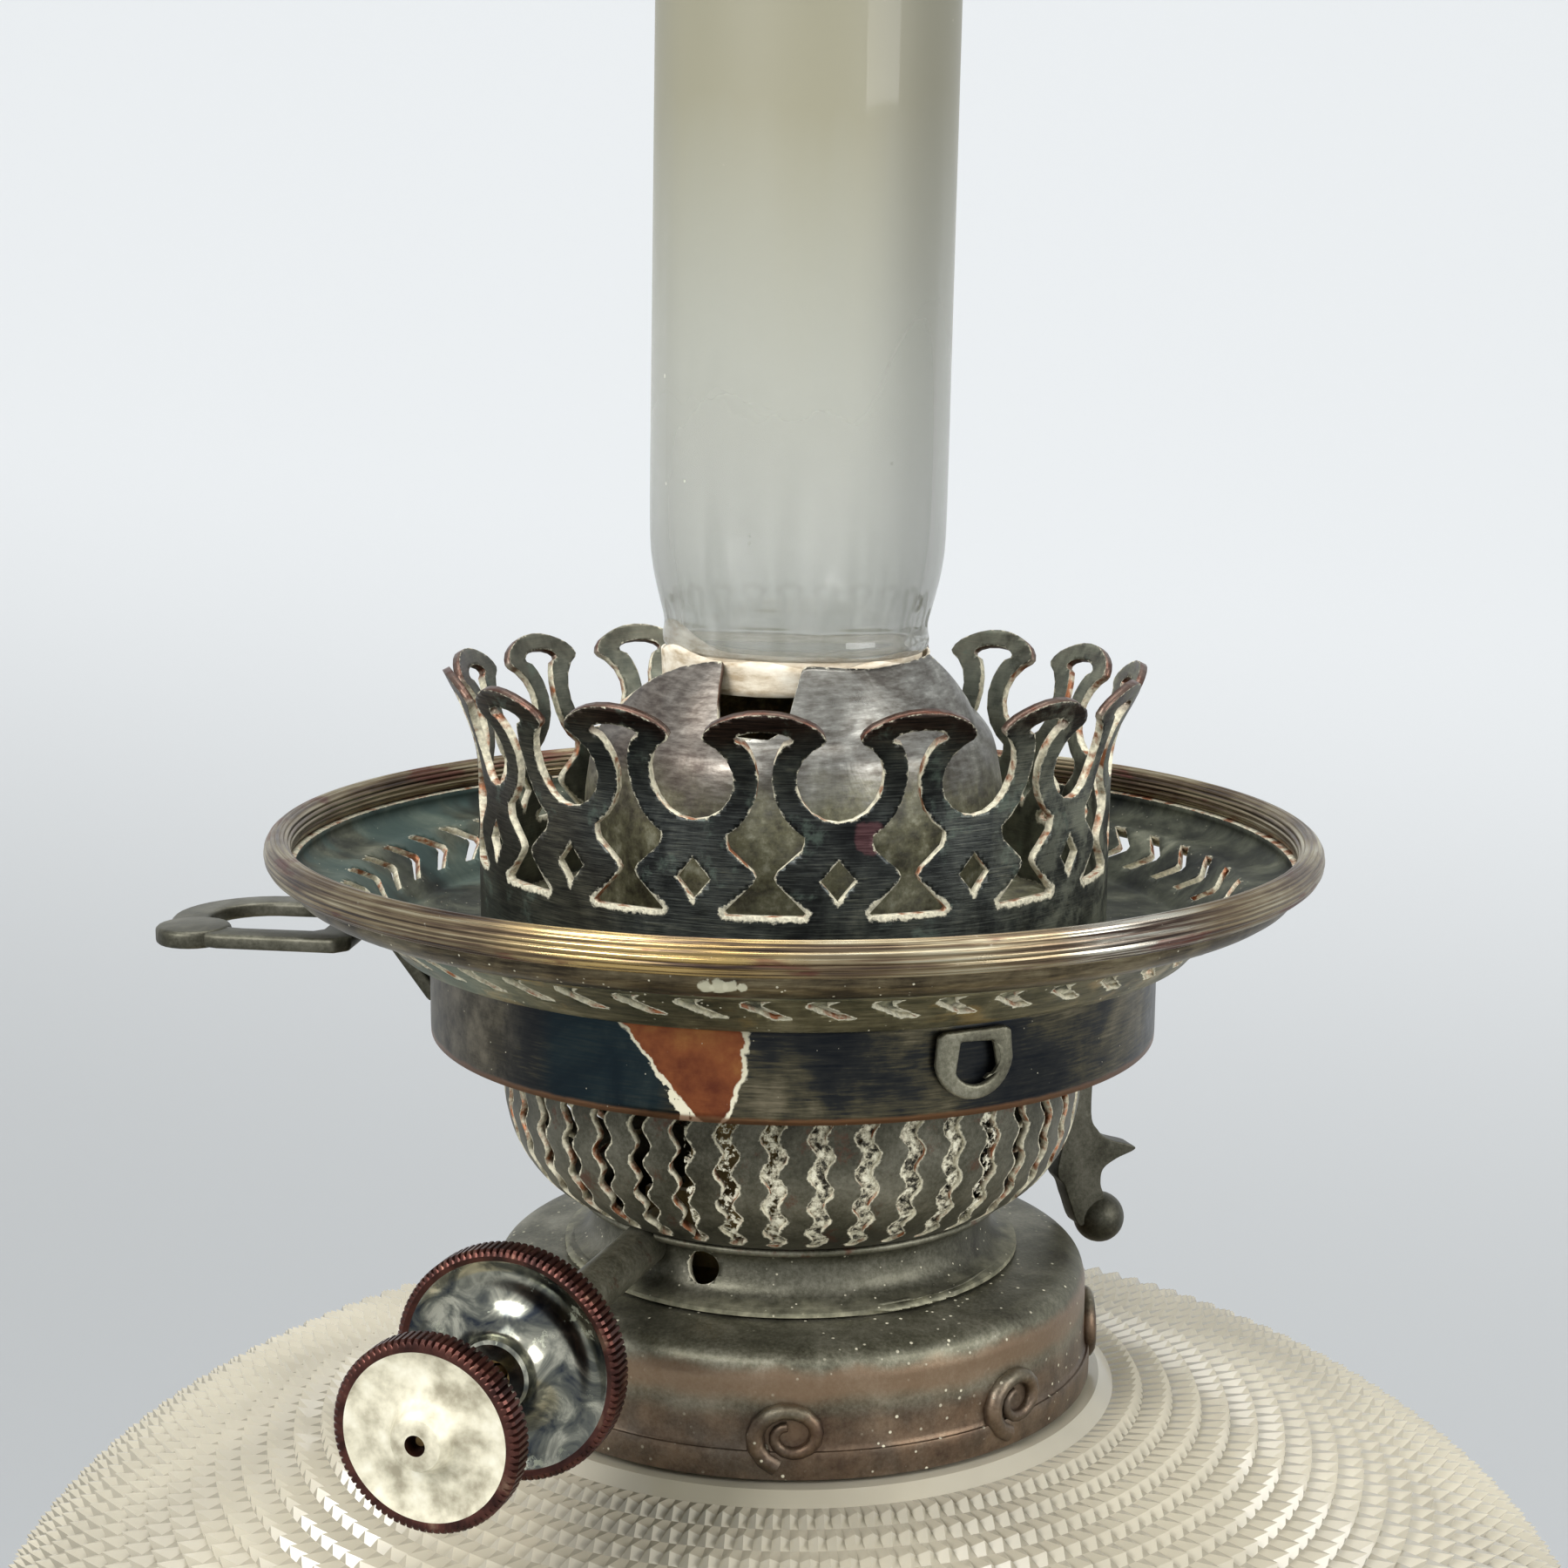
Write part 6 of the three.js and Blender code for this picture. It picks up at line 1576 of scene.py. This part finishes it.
class LAMP_OT_stand(LampStep):
    """Base, plinths, fluted column, capital and the cup under the font"""
    bl_idname = "lamp.stand"
    bl_label = "Stand"

    def execute(self, context):
        plate = plate_metal()
        felt = felt_cloth()
        add_piece("base_felt", refined("felt_pad", 0.5), "stand", [felt], ["felt_pad"], 0)
        plates = {"lower_plinth": 0.5, "middle_plinth": 0.5, "pedestal_block": 0.5, "abacus_plate": 0.7}
        for node, width in plates.items():
            add_piece(f"{node}_plated", refined(node, width), "stand", [plate], [node], 0)
        self.base_and_shaft(plate)
        self.capital(plate)
        self.cup(plate)
        return {"FINISHED"}

    def base_and_shaft(self, plate):
        foot, head = span("column_base")
        tall = head - foot
        shares = smooth_line([(0.955, 0), (0.99, 0.06), (1.0, 0.15), (1.0, 0.27), (0.985, 0.35), (0.95, 0.41)], 4)
        shares += smooth_line([(0.93, 0.42), (0.87, 0.46), (0.83, 0.54), (0.835, 0.62), (0.86, 0.68)], 4)
        shares += smooth_line([(0.88, 0.69), (0.915, 0.74), (0.92, 0.82), (0.90, 0.88), (0.87, 0.9)], 4)
        shares += [(0.80, 0.91), (0.78, 1.0)]
        section = [(BORE, foot), *((36 * r, foot + tall * z) for r, z in shares), (BORE, head)]
        add_piece("column_foot", turned(section, 96), "stand", [plate], ["column_base"], 0)
        foot, head = span("column_shaft")
        flutes = sizes().flutes
        rows = 26

        def place(turn, row):
            if row == 0 or row == rows - 1:
                return Vector((BORE * math.cos(turn), BORE * math.sin(turn), foot if row == 0 else head))
            up = (row - 1) / (rows - 3)
            height = blend(foot, head, up)
            radius = blend(24.9, 20.9, up**1.15)
            end = min(1.0, min(height - foot, head - height) / 7)
            across = (turn / math.tau * flutes) % 1
            hollow = max(0.0, 1 - ((across - 0.5) / 0.42) ** 2) ** 0.5
            radius -= 2.2 * hollow * end**0.5 * (radius / 24.9)
            return Vector((radius * math.cos(turn), radius * math.sin(turn), height))

        bm = wrapped(rows, flutes * 14, place)
        bore = bmesh.new()
        spin_line(bore, [(BORE, foot), (BORE, head)], flutes * 14)
        outward(bm)
        whole = merged(bm, bore)
        bmesh.ops.remove_doubles(whole, verts=whole.verts, dist=0.001)
        outward(whole)
        add_piece("fluted_shaft", whole, "stand", [plate], ["column_shaft"], 0, 50.0)

    def capital(self, plate):
        foot, _ = span("column_capital")
        bell = smooth_line([
            (21.2, 0), (21.3, 2.2), (20.9, 3.2), (19.5, 4.6), (19.6, 14), (20.2, 26), (22.6, 36), (27.2, 43.2),
            (28.2, 44.4), (28.2, 46)], 4)
        shapes = [turned([(BORE, 0), *bell, (BORE, 46)], 64)]
        for height, offset in ((20.0, 0.0), (33.0, 22.5)):
            for i in range(8):
                shapes.append(moved(
                    acanthus(14.0, height, 6.3), Matrix.Rotation(math.radians(i * 45 + offset), 4, "Z")
                    @ Matrix.Translation((19.7, 0, 0.4))))
        for i in range(4):
            spiral = []
            for k in range(30):
                turn = math.radians(120 - 26 * k)
                reach = 5.8 * (1 - k / 34)
                spiral.append((29.4 + reach * math.cos(turn), 46 - 7.3 + reach * math.sin(turn)))
            bar = swept(spiral, [1.15 * (1 - k / 45) for k in range(30)], 8)
            eye = bmesh.new()
            bmesh.ops.create_uvsphere(
                eye, u_segments=14, v_segments=8, radius=1.5, matrix=Matrix.Translation((29.4, 46 - 7.3, 0))
                @ Matrix.Diagonal((1, 1, 1.4, 1)))
            web = bevelled(flat_shape(arc((29.4, 46 - 7.3), 4.9, 0, 345, 24), 2.6), 0.4)
            moved(web, Matrix.Translation((0, 0, -1.3)))
            shapes.append(moved(
                merged(bar, eye, web), Matrix.Rotation(math.radians(45 + 90 * i), 4, "Z")
                @ Matrix.Rotation(math.pi / 2, 4, "X")))
        add_piece("leafy_capital", merged(*shapes), "stand", [plate], ["column_capital"], foot)

    def cup(self, plate):
        foot, head = span("font_seat_cup")
        tall = head - foot
        outside = smooth_line([
            (21.0, 0), (22.3, 0.8), (22.6, 2.0), (22.0, 3.2), (21.4, 4.0), (22.4, 6.0), (26.0, 8.6), (31.4, 10.9),
            (33.6, 12.2), (33.9, 13.2), (33.4, tall - 0.05)], 4)
        inside = [(31.0, tall - 0.02), (24.4, 12.4), (15, 12.3), (15, 5), (BORE, 5), (BORE, 0)]
        add_piece("font_cup", turned([*outside, *inside], 96), "stand", [plate], ["font_seat_cup"], foot)


class LAMP_OT_stage(LampStep):
    """Pale floor and sweep, soft lights and the camera"""
    bl_idname = "lamp.stage"
    bl_label = "Stage"

    def execute(self, context):
        self.backdrop()
        self.lights()
        self.camera()
        return {"FINISHED"}

    def backdrop(self):
        finish = Finish("stage_pale", 0.9, 0.0, tint("backdrop"))
        bsdf = finish.shader()
        # Painted shade: the glow is darker near the floor and to the left, and as pale as the world where the sweep
        # ends.
        shade = finish.step(finish.axis("Z") + finish.axis("X") * 0.12, -60.0, 420.0)
        sideways = finish.axis("X")
        outer = finish.step(sideways.maths("ABSOLUTE", sideways), 800.0, 2300.0)
        outer = outer + finish.step(finish.axis("Y"), -250.0, -880.0) * (1.0 - outer)
        shade = shade + outer * (1.0 - shade)
        glow = finish.node("ShaderNodeEmission", None, {
            "Color": finish.mix(shade, (0.42, 0.435, 0.45), (0.80, 0.825, 0.85)), "Strength": 1.0})
        finish.done(finish.node(
            "ShaderNodeMixShader", None, {0: finish.in_view() * (outer * 0.2 + 0.8), 1: bsdf, 2: glow}))
        bm = bmesh.new()
        half_width, steps, stride = 2600, 60, 24.5
        line = [(-900, 0), (700, 0)]
        for k in range(1, steps + 1):
            share = k / steps
            slope = math.pi / 2 * share**2 * (3 - 2 * share)
            line.append((line[-1][0] + stride * math.cos(slope), line[-1][1] + stride * math.sin(slope)))
        line.append((line[-1][0], 3000))
        verts = [bm.verts.new((-half_width, y, z)) for y, z in line]
        edges = [bm.edges.new(pair) for pair in zip(verts, verts[1:])]
        made = bmesh.ops.extrude_edge_only(bm, edges=edges)["geom"]
        bmesh.ops.translate(
            bm, verts=[v for v in made if isinstance(v, bmesh.types.BMVert)], vec=(2 * half_width, 0, 0))
        bmesh.ops.transform(bm, matrix=Matrix.Scale(MM, 4), verts=bm.verts)
        outward(bm)
        mesh = bpy.data.meshes.new("backdrop")
        bm.to_mesh(mesh)
        bm.free()
        mesh.materials.append(finish.material)
        for polygon in mesh.polygons:
            polygon.use_smooth = True
        put("backdrop", mesh)

    def lights(self):
        middle = Vector((0, 0, SKIRT_FOOT * MM))
        for name, place, size, power in (
            ("key", (-0.75, -0.85, 0.75), 0.55, 17.0),
            ("fill", (0.95, -0.6, 0.45), 0.6, 9.0),
            ("top", (0.0, 0.1, 1.15), 0.9, 12.0),
        ):
            lamp = bpy.data.lights.new(name, "AREA")
            lamp.shape = "SQUARE"
            lamp.size = size
            lamp.energy = power
            holder = put(name, lamp)
            holder.location = middle + Vector(place)
            holder.rotation_euler = (-Vector(place)).to_track_quat("-Z", "Y").to_euler()
        world = bpy.data.worlds.new("studio")
        nodes = Nodes(world)
        around, shown = (
            nodes.node("ShaderNodeBackground", None, {"Color": rgba(tint(name))}) for name in ("room", "backdrop"))
        both = nodes.node("ShaderNodeMixShader", None, {0: nodes.in_view(), 1: around, 2: shown})
        nodes.node("ShaderNodeOutputWorld", None, {"Surface": both})
        bpy.context.scene.world = world

    def camera(self):
        lens = bpy.data.cameras.new("camera")
        lens.sensor_width = 36
        lens.sensor_fit = "AUTO"
        lens.lens = 61.3
        lens.clip_start = 0.01
        holder = put("camera", lens)
        holder.location = (-1.1 * MM, -277 * MM, (SKIRT_FOOT + 74.9) * MM)
        pitch, roll = math.radians(90 - 10.13), math.radians(0.43)
        holder.rotation_euler = (Matrix.Rotation(pitch, 4, "X") @ Matrix.Rotation(roll, 4, "Z")).to_euler()
        bpy.context.scene.camera = holder
        bpy.context.scene.view_settings.view_transform = "Standard"


class LAMP_PT_panel(bpy.types.Panel):
    """Buttons that build the lamp's looks"""
    bl_idname = "LAMP_PT_panel"
    bl_label = "Banquet Lamp"
    bl_space_type = "VIEW_3D"
    bl_region_type = "UI"
    bl_category = "Lamp"

    def draw(self, context):
        for operator in STEPS:
            self.layout.operator(operator.bl_idname)


STEPS = (
    LAMP_OT_stage, LAMP_OT_coronet, LAMP_OT_tray, LAMP_OT_skirt, LAMP_OT_catch, LAMP_OT_basket, LAMP_OT_neck,
    LAMP_OT_collar, LAMP_OT_knobs, LAMP_OT_lever, LAMP_OT_extinguisher, LAMP_OT_dome, LAMP_OT_chimney, LAMP_OT_font,
    LAMP_OT_stand, LAMP_OT_works)
CLASSES = (LampSizes, LampColours, *STEPS, LAMP_PT_panel)


def register():
    for cls in CLASSES:
        bpy.utils.register_class(cls)
    bpy.types.Scene.lamp_sizes = bpy.props.PointerProperty(type=LampSizes)
    bpy.types.Scene.lamp_colours = bpy.props.PointerProperty(type=LampColours)


def unregister():
    del bpy.types.Scene.lamp_colours
    del bpy.types.Scene.lamp_sizes
    for cls in reversed(CLASSES):
        bpy.utils.unregister_class(cls)


def main():
    register()
    for operator in STEPS:
        group, name = operator.bl_idname.split(".")
        getattr(getattr(bpy.ops, group), name)()


if __name__ == "__main__":
    main()
